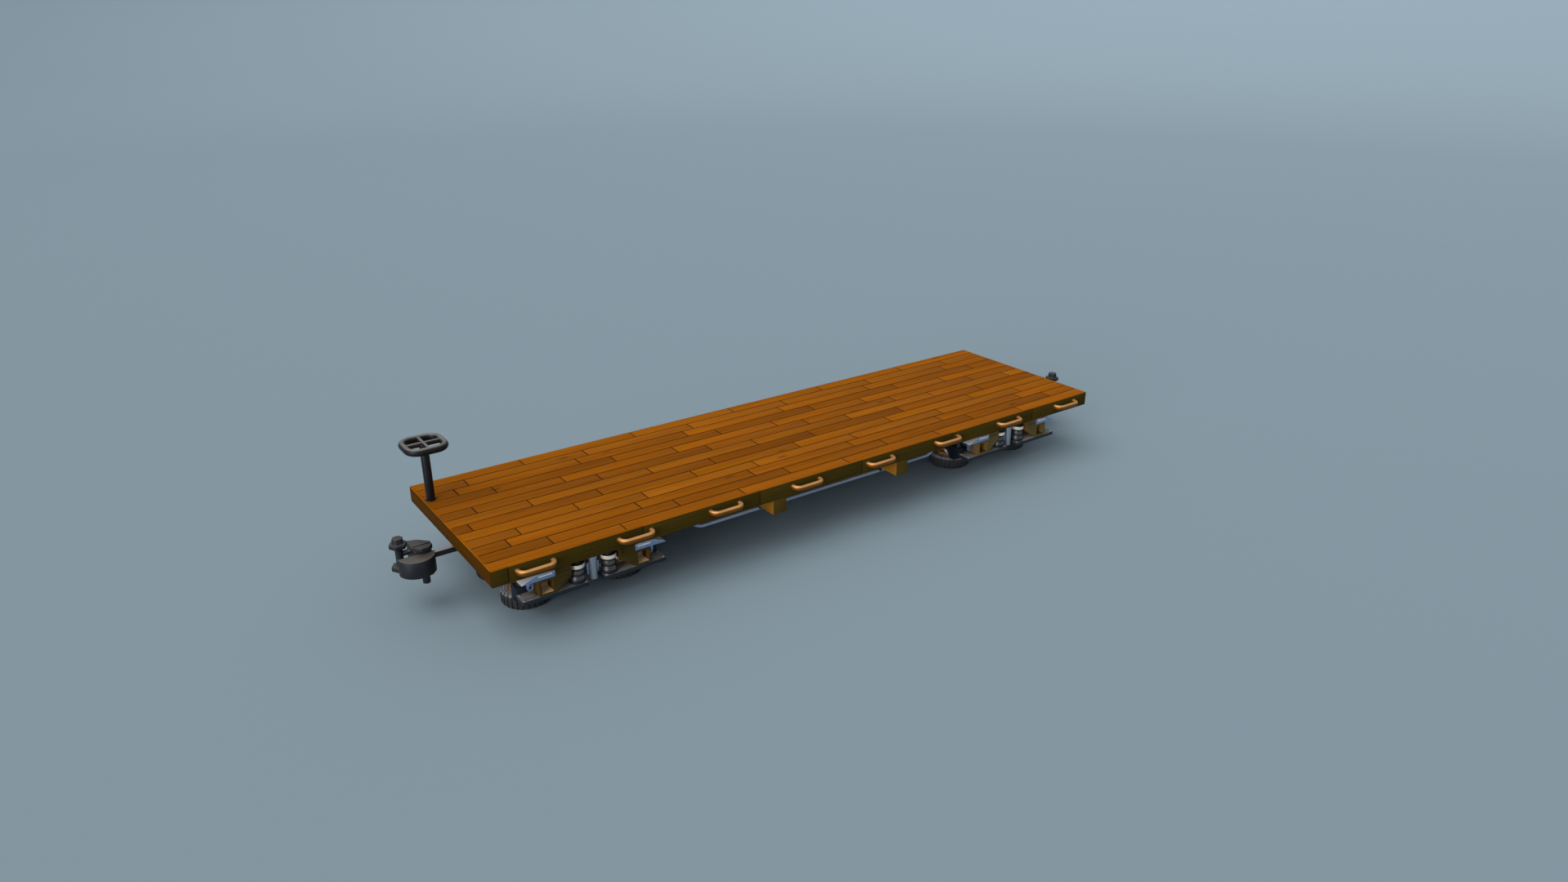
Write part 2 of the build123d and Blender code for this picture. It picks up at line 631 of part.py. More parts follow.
def coupler_head():
    """Drawbar, half-round jaw, rounded rear block and lower spigot of the coupler at end b, one casting."""
    head_x = -HALF_LENGTH - JAW_CENTRE
    pivot_x = -HALF_LENGTH + DRAWBAR_PIVOT
    jaw_top = DECK_TOP - JAW_TOP_DROP
    block_top = DECK_TOP - BLOCK_TOP_DROP
    far = DECK_WIDTH
    bar_place = Pos((head_x + pivot_x) / 2, 0, DRAWBAR_Z) * Rot(0, 90, 0)
    bar = bar_place * Cylinder(DRAWBAR_RADIUS, pivot_x - head_x)
    eye = Pos(pivot_x, 0, DRAWBAR_Z) * Cylinder(DRAWBAR_EYE_RADIUS, DRAWBAR_EYE_HEIGHT)
    jaw = rod(JAW_RADIUS, head_x, 0, jaw_top - JAW_HEIGHT, jaw_top)
    jaw -= span(head_x - far, head_x + far, 0, far, 0, DECK_TOP)
    block = rod(BLOCK_RADIUS, head_x, BLOCK_CENTRE_Y, block_top - BLOCK_HEIGHT, block_top)
    block -= span(head_x - far, head_x, -far, far, 0, DECK_TOP)
    block -= span(head_x - far, head_x + far, -far, 0, 0, DECK_TOP)
    bolt_x = -HALF_LENGTH - BOLT_REACH
    stay = Pos((bolt_x + head_x) / 2, BOLT_Y, DRAWBAR_Z) * Rot(0, 90, 0)
    spigot = rod(SPIGOT_RADIUS, -HALF_LENGTH - SPIGOT_CENTRE, 0, DECK_TOP - SPIGOT_DROP, DRAWBAR_Z)
    cap_seat = block_top - CAP_STEM_LENGTH - SEATED
    head = bar + eye + jaw + block + spigot + stay * Cylinder(BOLT_STAY_RADIUS, head_x - bolt_x)
    head -= rod(BOLT_SHAFT_RADIUS + SEATED, bolt_x, BOLT_Y, 0, DECK_TOP)
    head -= rod(CAP_STEM_RADIUS + SEATED, -HALF_LENGTH - CAP_CENTRE, CAP_Y, cap_seat, DECK_TOP)
    head -= rod(DRAWBAR_PIN_RADIUS + RUNNING, pivot_x, 0, 0, DECK_TOP)
    return head


def coupler_cap():
    """The slotted eight-sided cap, with a stem let into the top of the rear block."""
    foot = DECK_TOP - BLOCK_TOP_DROP
    flats = RegularPolygon(CAP_ACROSS / 2, 8, major_radius=False, rotation=22.5)
    cap = Pos(0, 0, foot) * extrude(flats, amount=CAP_THICK)
    cap -= Pos(0, 0, foot + CAP_THICK) * Box(2 * CAP_ACROSS, CAP_SLOT_WIDTH, 2 * CAP_SLOT_DEPTH)
    cap += rod(CAP_STEM_RADIUS, 0, 0, foot - CAP_STEM_LENGTH, foot)
    return Pos(-HALF_LENGTH - CAP_CENTRE, CAP_Y, 0) * cap


def coupler_bolt():
    """The upright bolt in the coupler's mouth, with hexagon heads."""
    bolt = None
    for across, height, drop in BOLT_HEADS:
        flats = RegularPolygon(across / 2, 6, major_radius=False)
        head = Pos(0, 0, DECK_TOP - drop - height) * extrude(flats, amount=height)
        bolt = head if bolt is None else bolt + head
    across, height, drop = BOLT_HEADS[-1]
    bolt += rod(BOLT_SHAFT_RADIUS, 0, 0, DECK_TOP - drop - height, DECK_TOP - BOLT_HEADS[0][2])
    return Pos(-HALF_LENGTH - BOLT_REACH, BOLT_Y, 0) * bolt


def staff_collar():
    """The bush in the deck that the brake staff turns in, standing on the end sill."""
    ring = rod(COLLAR_RADIUS, STAFF_X, STAFF_Y, FRAME_TOP, DECK_TOP + COLLAR_RISE)
    return ring - rod(STAFF_RADIUS + RUNNING, STAFF_X, STAFF_Y, FRAME_TOP, DECK_TOP + COLLAR_RISE)


def brake_staff():
    return rod(STAFF_RADIUS, STAFF_X, STAFF_Y, FRAME_TOP + SEATED, DECK_TOP + STAFF_HEIGHT)


def brake_wheel():
    """A hand wheel: a chamfered ring in a rounded square, cross spokes with a ridge, and a hub below."""
    across, ring_width = HAND_WHEEL_ACROSS, HAND_WHEEL_RING
    opening = across - 2 * ring_width
    outline = RectangleRounded(across, across, HAND_WHEEL_CORNER)
    outline -= RectangleRounded(opening, opening, HAND_WHEEL_CORNER - ring_width)
    ring = extrude(outline, amount=HAND_WHEEL_DEPTH)
    levels = ring.edges().group_by(Axis.Z)
    wheel = chamfer(levels[0] + levels[-1], HAND_WHEEL_CHAMFER)
    spoke_z = HAND_WHEEL_DEPTH - SPOKE_DROP - SPOKE_RADIUS
    spoke_face = Plane.YZ * RegularPolygon(SPOKE_RADIUS, 6, rotation=30)
    reach = across - ring_width
    spoke = Pos(-reach / 2, 0, spoke_z) * extrude(spoke_face, amount=reach)
    wheel += spoke
    wheel += Rot(0, 0, 90) * spoke
    wheel += rod(STAFF_RADIUS, 0, 0, 0, spoke_z)
    return Pos(STAFF_X, STAFF_Y, DECK_TOP + STAFF_HEIGHT) * wheel


def main():
    os.makedirs("parts", exist_ok=True)
    for make in (
        deck_boards,
        facing_boards,
        side_sills,
        end_sills,
        long_sills,
        joists,
        body_bolsters,
        needle_beams,
        truss_rods,
        queen_posts,
        grab_handles,
        draft_pockets,
    ):
        write(make.__name__, make())
    for make in (staff_collar, brake_staff, brake_wheel):
        write(make.__name__, [make()])

    truck_pieces = {
        "bolster": truck_bolster(),
        "columns": truck_columns(),
        "top_bars": truck_top_bars(),
        "plates": truck_plates(),
        "blocks": truck_blocks(),
        "wedges": truck_wedges(),
        "eyes": truck_eyes(),
        "springs": truck_springs(),
        "carriers": truck_carriers(),
    }
    head, cap, bolt = coupler_head(), coupler_cap(), coupler_bolt()
    plain_tyre, plain_rim = tyre(), rim()
    for end, sign in (("a", 1), ("b", -1)):
        truck_place = Pos(sign * TRUCK_X, 0, 0)
        for piece, shapes in truck_pieces.items():
            write(f"truck_{end}_{piece}", [truck_place * shape for shape in shapes])
        for place, x in (("outer", sign * WHEEL_X), ("inner", -sign * WHEEL_X)):
            for side, y in (("left", WHEEL_Y), ("right", -WHEEL_Y)):
                wheel_place = truck_place * Pos(x, y, 0)
                write(f"tyre_{end}_{place}_{side}", [wheel_place * plain_tyre])
                write(f"rim_{end}_{place}_{side}", [wheel_place * plain_rim])
        facing = Rot(0, 0, 180) if sign > 0 else Rot(0, 0, 0)
        write(f"coupler_{end}_head", [facing * head])
        write(f"coupler_{end}_pins", [facing * cap, facing * bolt])


if __name__ == "__main__":
    main()
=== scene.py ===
# %% [markdown]
# # A wooden flatcar, dressed in Blender
# The car is already built to size: a timber deck on two trucks, with eight wheels that lie flat, a coupler
# at each end and a hand brake. That model comes in as a fixed frame. Each lesson below takes one kind of
# piece, says what it is on the real car, and gives it the form and finish that show in the photograph.

# %% Load the frame
import json
import math
import random

import bmesh
import bpy
from mathutils import Matrix, Vector


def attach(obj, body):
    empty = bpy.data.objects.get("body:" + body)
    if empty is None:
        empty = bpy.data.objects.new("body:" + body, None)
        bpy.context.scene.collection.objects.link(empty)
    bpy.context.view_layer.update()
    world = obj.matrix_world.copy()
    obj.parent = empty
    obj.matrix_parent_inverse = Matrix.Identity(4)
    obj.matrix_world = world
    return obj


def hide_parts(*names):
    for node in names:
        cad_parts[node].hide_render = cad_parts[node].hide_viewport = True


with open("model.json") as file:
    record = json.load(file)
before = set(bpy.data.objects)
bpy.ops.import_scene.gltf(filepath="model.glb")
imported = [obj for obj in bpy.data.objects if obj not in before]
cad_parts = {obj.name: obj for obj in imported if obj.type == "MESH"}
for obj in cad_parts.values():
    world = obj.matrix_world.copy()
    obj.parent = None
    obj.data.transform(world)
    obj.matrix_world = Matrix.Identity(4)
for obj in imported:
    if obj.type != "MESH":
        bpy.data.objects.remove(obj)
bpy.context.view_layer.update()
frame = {"nodes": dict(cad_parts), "record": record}
nodes = frame["nodes"]
bodies = frame["record"]["behaviour"]["bodies"]
body_of_node = {name: body for body, names in bodies.items() for name in names}
slot_of_node = {row["node"]: row["material_slot"] for row in frame["record"]["subparts"]}

# %% [markdown]
# ## The camera
# The photograph looks down on the brake end from the right. Its camera was worked out from the corners of
# the deck, which is a known rectangle, so the car lands on the same place in the frame. A camera could be
# aimed by eye, but then every later comparison with the photograph would carry that error.

# %% Place the camera
CAMERA_PLACE = (-7.891, -10.921, 6.451)
CAMERA_TILT = 67.55
CAMERA_TURN = -35.848
CAMERA_LENS = 24.50
CAMERA_FAR = 500.0

bpy.ops.object.camera_add(
    location=CAMERA_PLACE,
    rotation=(math.radians(CAMERA_TILT), 0.0, math.radians(CAMERA_TURN)),
)
camera = bpy.context.object
camera.name = "photo_camera"
camera.data.lens = CAMERA_LENS
camera.data.clip_end = CAMERA_FAR
bpy.context.scene.camera = camera
print("camera:", camera.location[:], camera.data.lens, "mm")

# %% [markdown]
# ## Shader nodes in a few words
# Every finish below is a small graph of nodes. Adding a node, setting it and linking it takes many lines,
# so a few helpers do that: one for any node, one for sums, one that lays one colour over another, one for
# a ramp of colours, and two for the places and the noise that most textures start from.

# %% Helpers for shader nodes
def shader(tree, kind, sockets=None, **settings):
    made = tree.nodes.new("ShaderNode" + kind)
    for key, value in settings.items():
        setattr(made, key, value)
    for key, value in (sockets or {}).items():
        if isinstance(value, bpy.types.NodeSocket):
            tree.links.new(value, made.inputs[key])
        else:
            made.inputs[key].default_value = value
    return made


def sums(tree, operation, first, second=0.0):
    return shader(tree, "Math", {0: first, 1: second}, operation=operation).outputs[0]


def overlay(tree, amount, under, over, blend="MIX"):
    mixed = shader(tree, "Mix", {0: amount, 6: under, 7: over}, data_type="RGBA", blend_type=blend)
    return mixed.outputs[2]


def ramp(tree, amount, stops, interpolation="LINEAR"):
    """A colour ramp; stops are (place, value), the value a grey level or a colour."""
    made = shader(tree, "ValToRGB", {0: amount})
    made.color_ramp.interpolation = interpolation
    while len(made.color_ramp.elements) < len(stops):
        made.color_ramp.elements.new(1.0)
    for element, (place, value) in zip(made.color_ramp.elements, stops):
        element.position = place
        grey = isinstance(value, float)
        element.color = (value, value, value, 1.0) if grey else (*value, 1.0)
    return made.outputs[0]


def new_finish(name):
    material = bpy.data.materials.new(name)
    material.use_nodes = True
    return material, material.node_tree, material.node_tree.nodes["Principled BSDF"]


def place_in(tree, scale=(1.0, 1.0, 1.0), shift=(0.0, 0.0, 0.0)):
    """Object coordinates, stretched so that a texture has the right size along each axis."""
    place = shader(tree, "TexCoord").outputs["Object"]
    return shader(tree, "Mapping", {"Vector": place, "Scale": scale, "Location": shift}).outputs[0]


def noise(tree, vector, scale, detail=4.0, distortion=0.0):
    sockets = {"Vector": vector, "Scale": scale, "Detail": detail, "Distortion": distortion}
    return shader(tree, "TexNoise", sockets).outputs["Fac"]


print("shader helpers ready")

# %% [markdown]
# ## Floor and light
# A pale floor that curves up far away gives a plain background from every side, like the paper sweep of a
# photo studio. A disc pulled up at its rim makes it in a few extrusions. Two soft suns stand on the left:
# the high one lights the deck, and the low one reaches under it, so that faces towards the left are brighter
# than the near side. A weak sun in front and an even sky fill the rest. Lamps near the car could do the
# same, but would leave pools of light on the floor.

# %% Build the studio
FLOOR_RADIUS = 45.0
FLOOR_POINTS = 96
SWEEP_RISE = ((12.0, 2.5), (8.0, 8.0), (2.0, 22.0))
FLOOR_COLOUR = (0.25, 0.32, 0.365, 1.0)
PAPER_ROUGHNESS = 0.9
PAPER_GLOSS = 0.1

bpy.ops.object.select_all(action="DESELECT")
bpy.ops.mesh.primitive_circle_add(vertices=FLOOR_POINTS, radius=FLOOR_RADIUS, fill_type="NGON")
floor = bpy.context.object
floor.name = "studio_floor"
bpy.ops.object.mode_set(mode="EDIT")
bpy.ops.mesh.select_mode(type="EDGE")
bpy.ops.mesh.select_all(action="SELECT")
reach = FLOOR_RADIUS
for outward, upward in SWEEP_RISE:
    bpy.ops.mesh.extrude_edges_move(TRANSFORM_OT_translate={"value": (0.0, 0.0, upward)})
    grow = (reach + outward) / reach
    bpy.ops.transform.resize(value=(grow, grow, 1.0))
    reach += outward
bpy.ops.object.mode_set(mode="OBJECT")
bpy.ops.object.shade_smooth()

paper, tree, surface = new_finish("studio_paper")
surface.inputs["Roughness"].default_value = PAPER_ROUGHNESS
surface.inputs["Specular IOR Level"].default_value = PAPER_GLOSS
surface.inputs["Base Color"].default_value = FLOOR_COLOUR
floor.data.materials.append(paper)
floor.visible_shadow = False  # the raised rim would hide the low sun
print("floor:", len(floor.data.polygons), "faces, reaching", reach, "m")

# %% Light the studio
# Name, direction it comes from, strength and spread in degrees of each sun
SUNS = (
    ("high_sun", (-0.55, -0.10, 1.0), 1.55, 55.0),
    ("low_sun", (-1.0, -0.45, 0.23), 1.65, 35.0),
    ("front_sun", (-0.15, -1.0, 0.28), 0.20, 50.0),
)
SUN_PLACE = (-8.0, 0.0, 12.0)  # only a sun's direction counts
SKY_COLOUR = (0.93, 0.97, 1.0, 1.0)
SKY_STRENGTH = 0.46

for name, source, strength, spread in SUNS:
    bpy.ops.object.light_add(type="SUN", location=SUN_PLACE)
    sun = bpy.context.object
    sun.name = name
    sun.data.energy = strength
    sun.data.angle = math.radians(spread)
    sun.rotation_euler = Vector(source).to_track_quat("Z", "Y").to_euler()

world = bpy.data.worlds.new("studio_sky")
world.use_nodes = True
sky = world.node_tree.nodes["Background"]
sky.inputs["Color"].default_value = SKY_COLOUR
sky.inputs["Strength"].default_value = SKY_STRENGTH
bpy.context.scene.world = world
bpy.context.scene.view_settings.view_transform = "Standard"
print("light:", [row[0] for row in SUNS], "and a sky of", SKY_STRENGTH)

# %% [markdown]
# ## Timber
# The deck is oiled softwood in planks of several tones. Real planks differ board by board and row by row;
# the photograph shows eight row tones that come round again, so a ramp with hard steps picks the tone from
# the place across the car, and a shade that each board carries in its mesh varies it along the row. Noise
# drawn out along the grain gives the figure and the fibres, and a few stretched cells with dark middles
# are the knots. An image of wood would be quicker, but would not fit boards of every length.

# %% Make the timber finishes
ROW_PITCH = 0.200
ROW_TONES = (
    (0.318, 0.094, 0.0020),
    (0.318, 0.096, 0.0040),
    (0.300, 0.086, 0.0020),
    (0.258, 0.074, 0.0020),
    (0.322, 0.092, 0.0020),
    (0.250, 0.072, 0.0030),
    (0.325, 0.099, 0.0035),
    (0.242, 0.067, 0.0020),
)
DECK_EDGE_Y = 1.300
GRAIN = {"x": (0.55, 15.0, 15.0), "y": (15.0, 0.55, 15.0), "z": (15.0, 15.0, 0.55)}
FIBRE = {"x": (2.2, 210.0, 210.0), "y": (210.0, 2.2, 210.0), "z": (210.0, 210.0, 2.2)}
KNOTS = {"x": (0.8, 3.4, 3.4), "y": (3.4, 0.8, 3.4), "z": (3.4, 3.4, 0.8)}
KNOT_BROWN = (0.035, 0.014, 0.003, 1.0)
KNOT_DEPTH = 0.7
FIGURE_DEPTH = 0.40
FIBRE_DEPTH = 0.40
FIBRE_BUMP = 0.22
FIBRE_HEIGHT = 0.003
TIMBER_GLOSS = 0.02
ROW_SLIDE = 3.7  # the grain starts elsewhere in every row
BOARD_SHADE = "board_shade"


def timber(name, tones, along, roughness=0.62):
    material, tree, surface = new_finish(name)
    if len(tones) > 1:
        place = shader(tree, "TexCoord").outputs["Object"]
        across = shader(tree, "SeparateXYZ", {0: place}).outputs["Y"]
        turns = sums(tree, "DIVIDE", sums(tree, "SUBTRACT", DECK_EDGE_Y, across), ROW_PITCH * len(tones))
        stops = [(i / len(tones), tone) for i, tone in enumerate(tones)]
        base = ramp(tree, sums(tree, "FRACT", turns), stops, "CONSTANT")
        row = sums(tree, "FLOOR", sums(tree, "MULTIPLY", turns, float(len(tones))))
        slide = shader(tree, "CombineXYZ", {"X": sums(tree, "MULTIPLY", row, ROW_SLIDE)}).outputs[0]
        shade = shader(tree, "Attribute", attribute_name=BOARD_SHADE).outputs["Fac"]
        base = overlay(tree, 1.0, base, shade, "MULTIPLY")
    else:
        base = (*tones[0], 1.0)
        slide = (0.0, 0.0, 0.0)
    figure = noise(tree, place_in(tree, GRAIN[along], slide), 1.0, 5.0, 1.4)
    fibre = noise(tree, place_in(tree, FIBRE[along], slide), 1.0, 3.0)
    knot = shader(tree, "TexVoronoi", {"Vector": place_in(tree, KNOTS[along], slide), "Scale": 1.0})
    knot_dark = ramp(tree, knot.outputs["Distance"], ((0.0, 1.0), (0.035, 0.85), (0.09, 0.0)))
    figure_tone = ramp(tree, figure, ((0.30, 0.55), (0.70, 1.40)))
    figured = overlay(tree, FIGURE_DEPTH, base, figure_tone, "MULTIPLY")
    fibre_tone = ramp(tree, fibre, ((0.30, 0.60), (0.70, 1.35)))
    fibred = overlay(tree, FIBRE_DEPTH, figured, fibre_tone, "MULTIPLY")
    knotted = overlay(tree, sums(tree, "MULTIPLY", knot_dark, KNOT_DEPTH), fibred, KNOT_BROWN)
    tree.links.new(knotted, surface.inputs["Base Color"])
    rough = ramp(tree, fibre, ((0.25, roughness - 0.10), (0.75, roughness + 0.12)))
    tree.links.new(rough, surface.inputs["Roughness"])
    surface.inputs["Specular IOR Level"].default_value = TIMBER_GLOSS
    bump = shader(tree, "Bump", {"Height": fibre, "Strength": FIBRE_BUMP, "Distance": FIBRE_HEIGHT})
    tree.links.new(bump.outputs[0], surface.inputs["Normal"])
    return material


DECK_TIMBER = timber("deck_timber", ROW_TONES, "x")
# The side and end timbers are the deck's wood darkened as painted shade on the car's upright sides and ends.
SIDE_TIMBER_PAINTED_SHADE = timber("side_timber_painted_shade", ((0.052, 0.034, 0.005),), "x", 0.7)
END_TIMBER_PAINTED_SHADE = timber("end_timber_painted_shade", ((0.070, 0.026, 0.0012),), "y", 0.7)
FRAME_TIMBER = timber("frame_timber", ((0.105, 0.056, 0.010),), "x", 0.75)
CROSS_TIMBER = timber("cross_timber", ((0.290, 0.120, 0.014),), "y", 0.72)
# The end grain finish is the cross timber darkened as painted shade, for the needle beams' faces that look to
# the sides.
END_GRAIN_PAINTED_SHADE = timber("end_grain_painted_shade", ((0.074, 0.046, 0.009),), "x", 0.78)
BLOCK_TIMBER = timber("block_timber", ((0.062, 0.041, 0.011),), "x", 0.75)
# The block end finishes are the block timbers made paler as painted light on the faces that look along the
# car.
BLOCK_END = timber("block_end", ((0.085, 0.045, 0.011),), "z", 0.75)
PALE_BLOCK = timber("pale_block", ((0.130, 0.092, 0.033),), "x", 0.75)
PALE_BLOCK_END = timber("pale_block_end", ((0.170, 0.100, 0.032),), "z", 0.75)
# The window timber is pale as painted light inside the blocks' window recesses.
WINDOW_PAINTED_LIGHT = timber("window_painted_light", ((0.68, 0.46, 0.26),), "x", 0.75)
print("timber finishes:", len(ROW_TONES), "row tones on the deck")

# %% [markdown]
# The edges of each board are darker, because dirt and damp collect in the joints. A bevel can hand its
# narrow faces to a second material slot, so the dark line follows every board without being drawn.

# %% Make the dark board edge
GRIME_PATCHES = (14.0, 14.0, 14.0)
GRIME_ROUGHNESS = 0.85
GRIME_GLOSS = 0.05


def soiled_edge(name, tone):
    material, tree, surface = new_finish(name)
    patch = noise(tree, place_in(tree, GRIME_PATCHES), 1.0, 5.0)
    shade = overlay(tree, 1.0, (*tone, 1.0), ramp(tree, patch, ((0.3, 0.55), (0.7, 1.4))), "MULTIPLY")
    tree.links.new(shade, surface.inputs["Base Color"])
    surface.inputs["Roughness"].default_value = GRIME_ROUGHNESS
    surface.inputs["Specular IOR Level"].default_value = GRIME_GLOSS
    return material


DECK_EDGE = soiled_edge("deck_joint_grime", (0.050, 0.018, 0.002))
SIDE_EDGE = soiled_edge("side_joint_grime", (0.016, 0.010, 0.002))
print("edge finishes: deck and side")

# %% [markdown]
# ## Metals
# Gunmetal is the dark blued steel of the couplers, and brake iron the blacker bar of the hand brake. Bright
# steel is the polished bolsters and wedges, blue on upright faces and white on top: that blue and white are a
# painted reflection of sky and light. The rods and columns have paler steels of their own, and the rods' blue
# sides are a painted reflection too. Ring steel, its grooves and its cap are the spring stacks. The grab
# handles and the wheel fittings are copper. Each is a metallic shader whose tone and roughness wander with
# two noises, a broad one for handling marks and a fine one for the brushed surface. Faces that look up are
# painted paler than the rest, as painted light and highlight from above: the direction of the surface is the
# mask, and turn says where that starts and ends.

# %% Make the metal finishes
HANDLING_MARKS = (5.0, 5.0, 5.0)
BRUSH_MARKS = (60.0, 60.0, 60.0)
BRUSH_BUMP = 0.05
BRUSH_HEIGHT = 0.002


def metal(name, tone, roughness, metallic=1.0, wander=0.25, top=None, turn=(0.25, 0.75)):
    material, tree, surface = new_finish(name)
    broad = noise(tree, place_in(tree, HANDLING_MARKS), 1.0, 6.0, 0.4)
    fine = noise(tree, place_in(tree, BRUSH_MARKS), 1.0, 4.0)
    base = (*tone, 1.0)
    # Faces that look up take the top tone as painted light and highlight from above.
    if top:
        direction = shader(tree, "NewGeometry").outputs["Normal"]
        upward = shader(tree, "SeparateXYZ", {0: direction}).outputs["Z"]
        painted_light_mask = ramp(tree, upward, ((turn[0], 0.0), (turn[1], 1.0)))
        base = overlay(tree, painted_light_mask, base, (*top, 1.0))
    worn = overlay(tree, wander, base, ramp(tree, broad, ((0.32, 0.45), (0.68, 1.55))), "MULTIPLY")
    tree.links.new(worn, surface.inputs["Base Color"])
    blend = sums(tree, "MULTIPLY", sums(tree, "ADD", broad, fine), 0.5)
    rough = ramp(tree, blend, ((0.3, max(roughness - 0.10, 0.03)), (0.7, roughness + 0.12)))
    tree.links.new(rough, surface.inputs["Roughness"])
    surface.inputs["Metallic"].default_value = metallic
    bumped = shader(tree, "Bump", {"Height": fine, "Strength": BRUSH_BUMP, "Distance": BRUSH_HEIGHT})
    tree.links.new(bumped.outputs[0], surface.inputs["Normal"])
    return material


# The second tone of these metals is painted light on the faces that look up.
GUNMETAL = metal("gunmetal", (0.030, 0.031, 0.036), 0.48, 0.7, 0.30, (0.155, 0.136, 0.118))
# The drawbar's pale top tone over a narrow turn is a painted highlight along its top.
DRAWBAR_STEEL = metal(
    "drawbar_steel", (0.034, 0.035, 0.042), 0.40, 0.7, 0.2, (0.68, 0.63, 0.58), (0.62, 0.88)
)
GUNMETAL_EDGE = metal("gunmetal_worn_edge", (0.20, 0.19, 0.18), 0.40, 1.0, 0.5)
BOLT_STEEL = metal("bolt_steel", (0.022, 0.024, 0.029), 0.50, 0.5, 0.3, (0.082, 0.072, 0.061))
# The brake iron's pale top tone over a narrow turn is a painted highlight along the top of the hand wheel.
BRAKE_IRON = metal(
    "brake_iron", (0.010, 0.011, 0.014), 0.42, 0.5, 0.3, (0.26, 0.23, 0.20), (0.60, 1.0)
)
# The blue tone and white top of the bright steel are a painted reflection of sky and light.
BRIGHT_STEEL = metal("bright_steel", (0.28, 0.38, 0.63), 0.32, 0.8, 0.15, (0.96, 0.93, 0.88))
BRIGHT_EDGE = metal("bright_steel_edge", (0.80, 0.82, 0.86), 0.25, 1.0, 0.1)
COLUMN_STEEL = metal("column_steel", (0.36, 0.39, 0.45), 0.34, 0.7, 0.12)
# The wedge white is a painted reflection of the light on the faces of the wedges that look up, and on their
# strips.
WEDGE_PAINTED_HIGHLIGHT = metal("wedge_painted_highlight", (0.95, 0.91, 0.86), 0.40, 0.05, 0.08)
# The rod steel's blue sides and white top are a painted reflection of sky and light.
ROD_STEEL = metal("rod_steel", (0.30, 0.39, 0.60), 0.36, 0.6, 0.15, (0.86, 0.87, 0.90))
RING_STEEL = metal("ring_steel", (0.150, 0.130, 0.112), 0.26, 0.8, 0.2)
RING_CAP = metal("ring_cap", (0.97, 0.84, 0.68), 0.38, 0.2, 0.10)
RING_GROOVE = metal("ring_groove", (0.018, 0.026, 0.046), 0.50, 0.6, 0.3)
# The plate steel's pale top is painted light on the foot plates, which lie in the deck's shade.
PLATE_STEEL = metal("plate_steel", (0.012, 0.017, 0.030), 0.55, 0.2, 0.3, (0.34, 0.305, 0.265))
CARRIER_STEEL = metal("carrier_steel", (0.016, 0.021, 0.034), 0.52, 0.6, 0.35, (0.050, 0.050, 0.052))
COPPER = metal("copper", (0.88, 0.46, 0.15), 0.32, 0.35, 0.12)
# The handle copper is dark below and pale on top: painted shade under the bar and painted light on it.
HANDLE_COPPER = metal(
    "handle_copper", (0.200, 0.066, 0.003), 0.44, 0.6, 0.15, (0.66, 0.325, 0.105), (0.42, 0.70)
)
HUB_STEEL = metal("hub_steel", (0.90, 0.87, 0.82), 0.32, 0.3, 0.1)
METALS = (GUNMETAL, BRAKE_IRON, BRIGHT_STEEL, ROD_STEEL, RING_STEEL, PLATE_STEEL, CARRIER_STEEL, COPPER)
print("main metal finishes:", [finish.name for finish in METALS])

# %% [markdown]
# Tyre rubber is a soft dark grey, never black. It is paler on the faces that look up and on the lugs, partly
# dust in patches and partly painted light from above, and a fine grain of bumps keeps it dull.

# %% Make the rubber finish
RUBBER_DARK = (0.009, 0.0095, 0.011, 1.0)
RUBBER_DUST_AND_LIGHT = (0.34, 0.33, 0.34, 1.0)
RUBBER_GRAIN = (90.0, 90.0, 90.0)
DUST_PATCHES = (7.0, 7.0, 7.0)
RUBBER_GLOSS = 0.3
RUBBER_BUMP = 0.25
RUBBER_HEIGHT = 0.002

RUBBER, tree, surface = new_finish("tyre_rubber")
grain = noise(tree, place_in(tree, RUBBER_GRAIN), 1.0, 5.0)
dust = noise(tree, place_in(tree, DUST_PATCHES), 1.0, 6.0, 0.6)
direction = shader(tree, "NewGeometry").outputs["Normal"]
upward = shader(tree, "SeparateXYZ", {0: direction}).outputs["Z"]
# faces that look up are paler: dust in patches, and painted light from above
facing_up = ramp(tree, upward, ((0.0, 0.05), (0.8, 1.0)))
dust_and_painted_light = sums(tree, "MULTIPLY", facing_up, ramp(tree, dust, ((0.3, 0.5), (0.7, 1.0))))
shade = overlay(tree, dust_and_painted_light, RUBBER_DARK, RUBBER_DUST_AND_LIGHT)
tree.links.new(shade, surface.inputs["Base Color"])
tree.links.new(ramp(tree, grain, ((0.3, 0.70), (0.7, 0.92))), surface.inputs["Roughness"])
surface.inputs["Specular IOR Level"].default_value = RUBBER_GLOSS
bumped = shader(tree, "Bump", {"Height": grain, "Strength": RUBBER_BUMP, "Distance": RUBBER_HEIGHT})
tree.links.new(bumped.outputs[0], surface.inputs["Normal"])
print("rubber finish:", RUBBER.name)

# %% [markdown]
# ## Working on one piece at a time
# An operator acts on everything that is selected, so each piece starts from an empty selection. These
# helpers select, go in and out of edit mode, pick faces and points by their place or normal, apply a
# modifier, and hand a finished piece to the body that carries it.

# %% Helpers for selecting
UPWARD = 0.9


def work_on(*pieces):
    bpy.ops.object.select_all(action="DESELECT")
    for piece in pieces:
        piece.select_set(True)
    bpy.context.view_layer.objects.active = pieces[0]


def edit(piece, elements="FACE"):
    work_on(piece)
    bpy.ops.object.mode_set(mode="EDIT")
    bpy.ops.mesh.select_mode(type=elements)


def leave():
    bpy.ops.object.mode_set(mode="OBJECT")


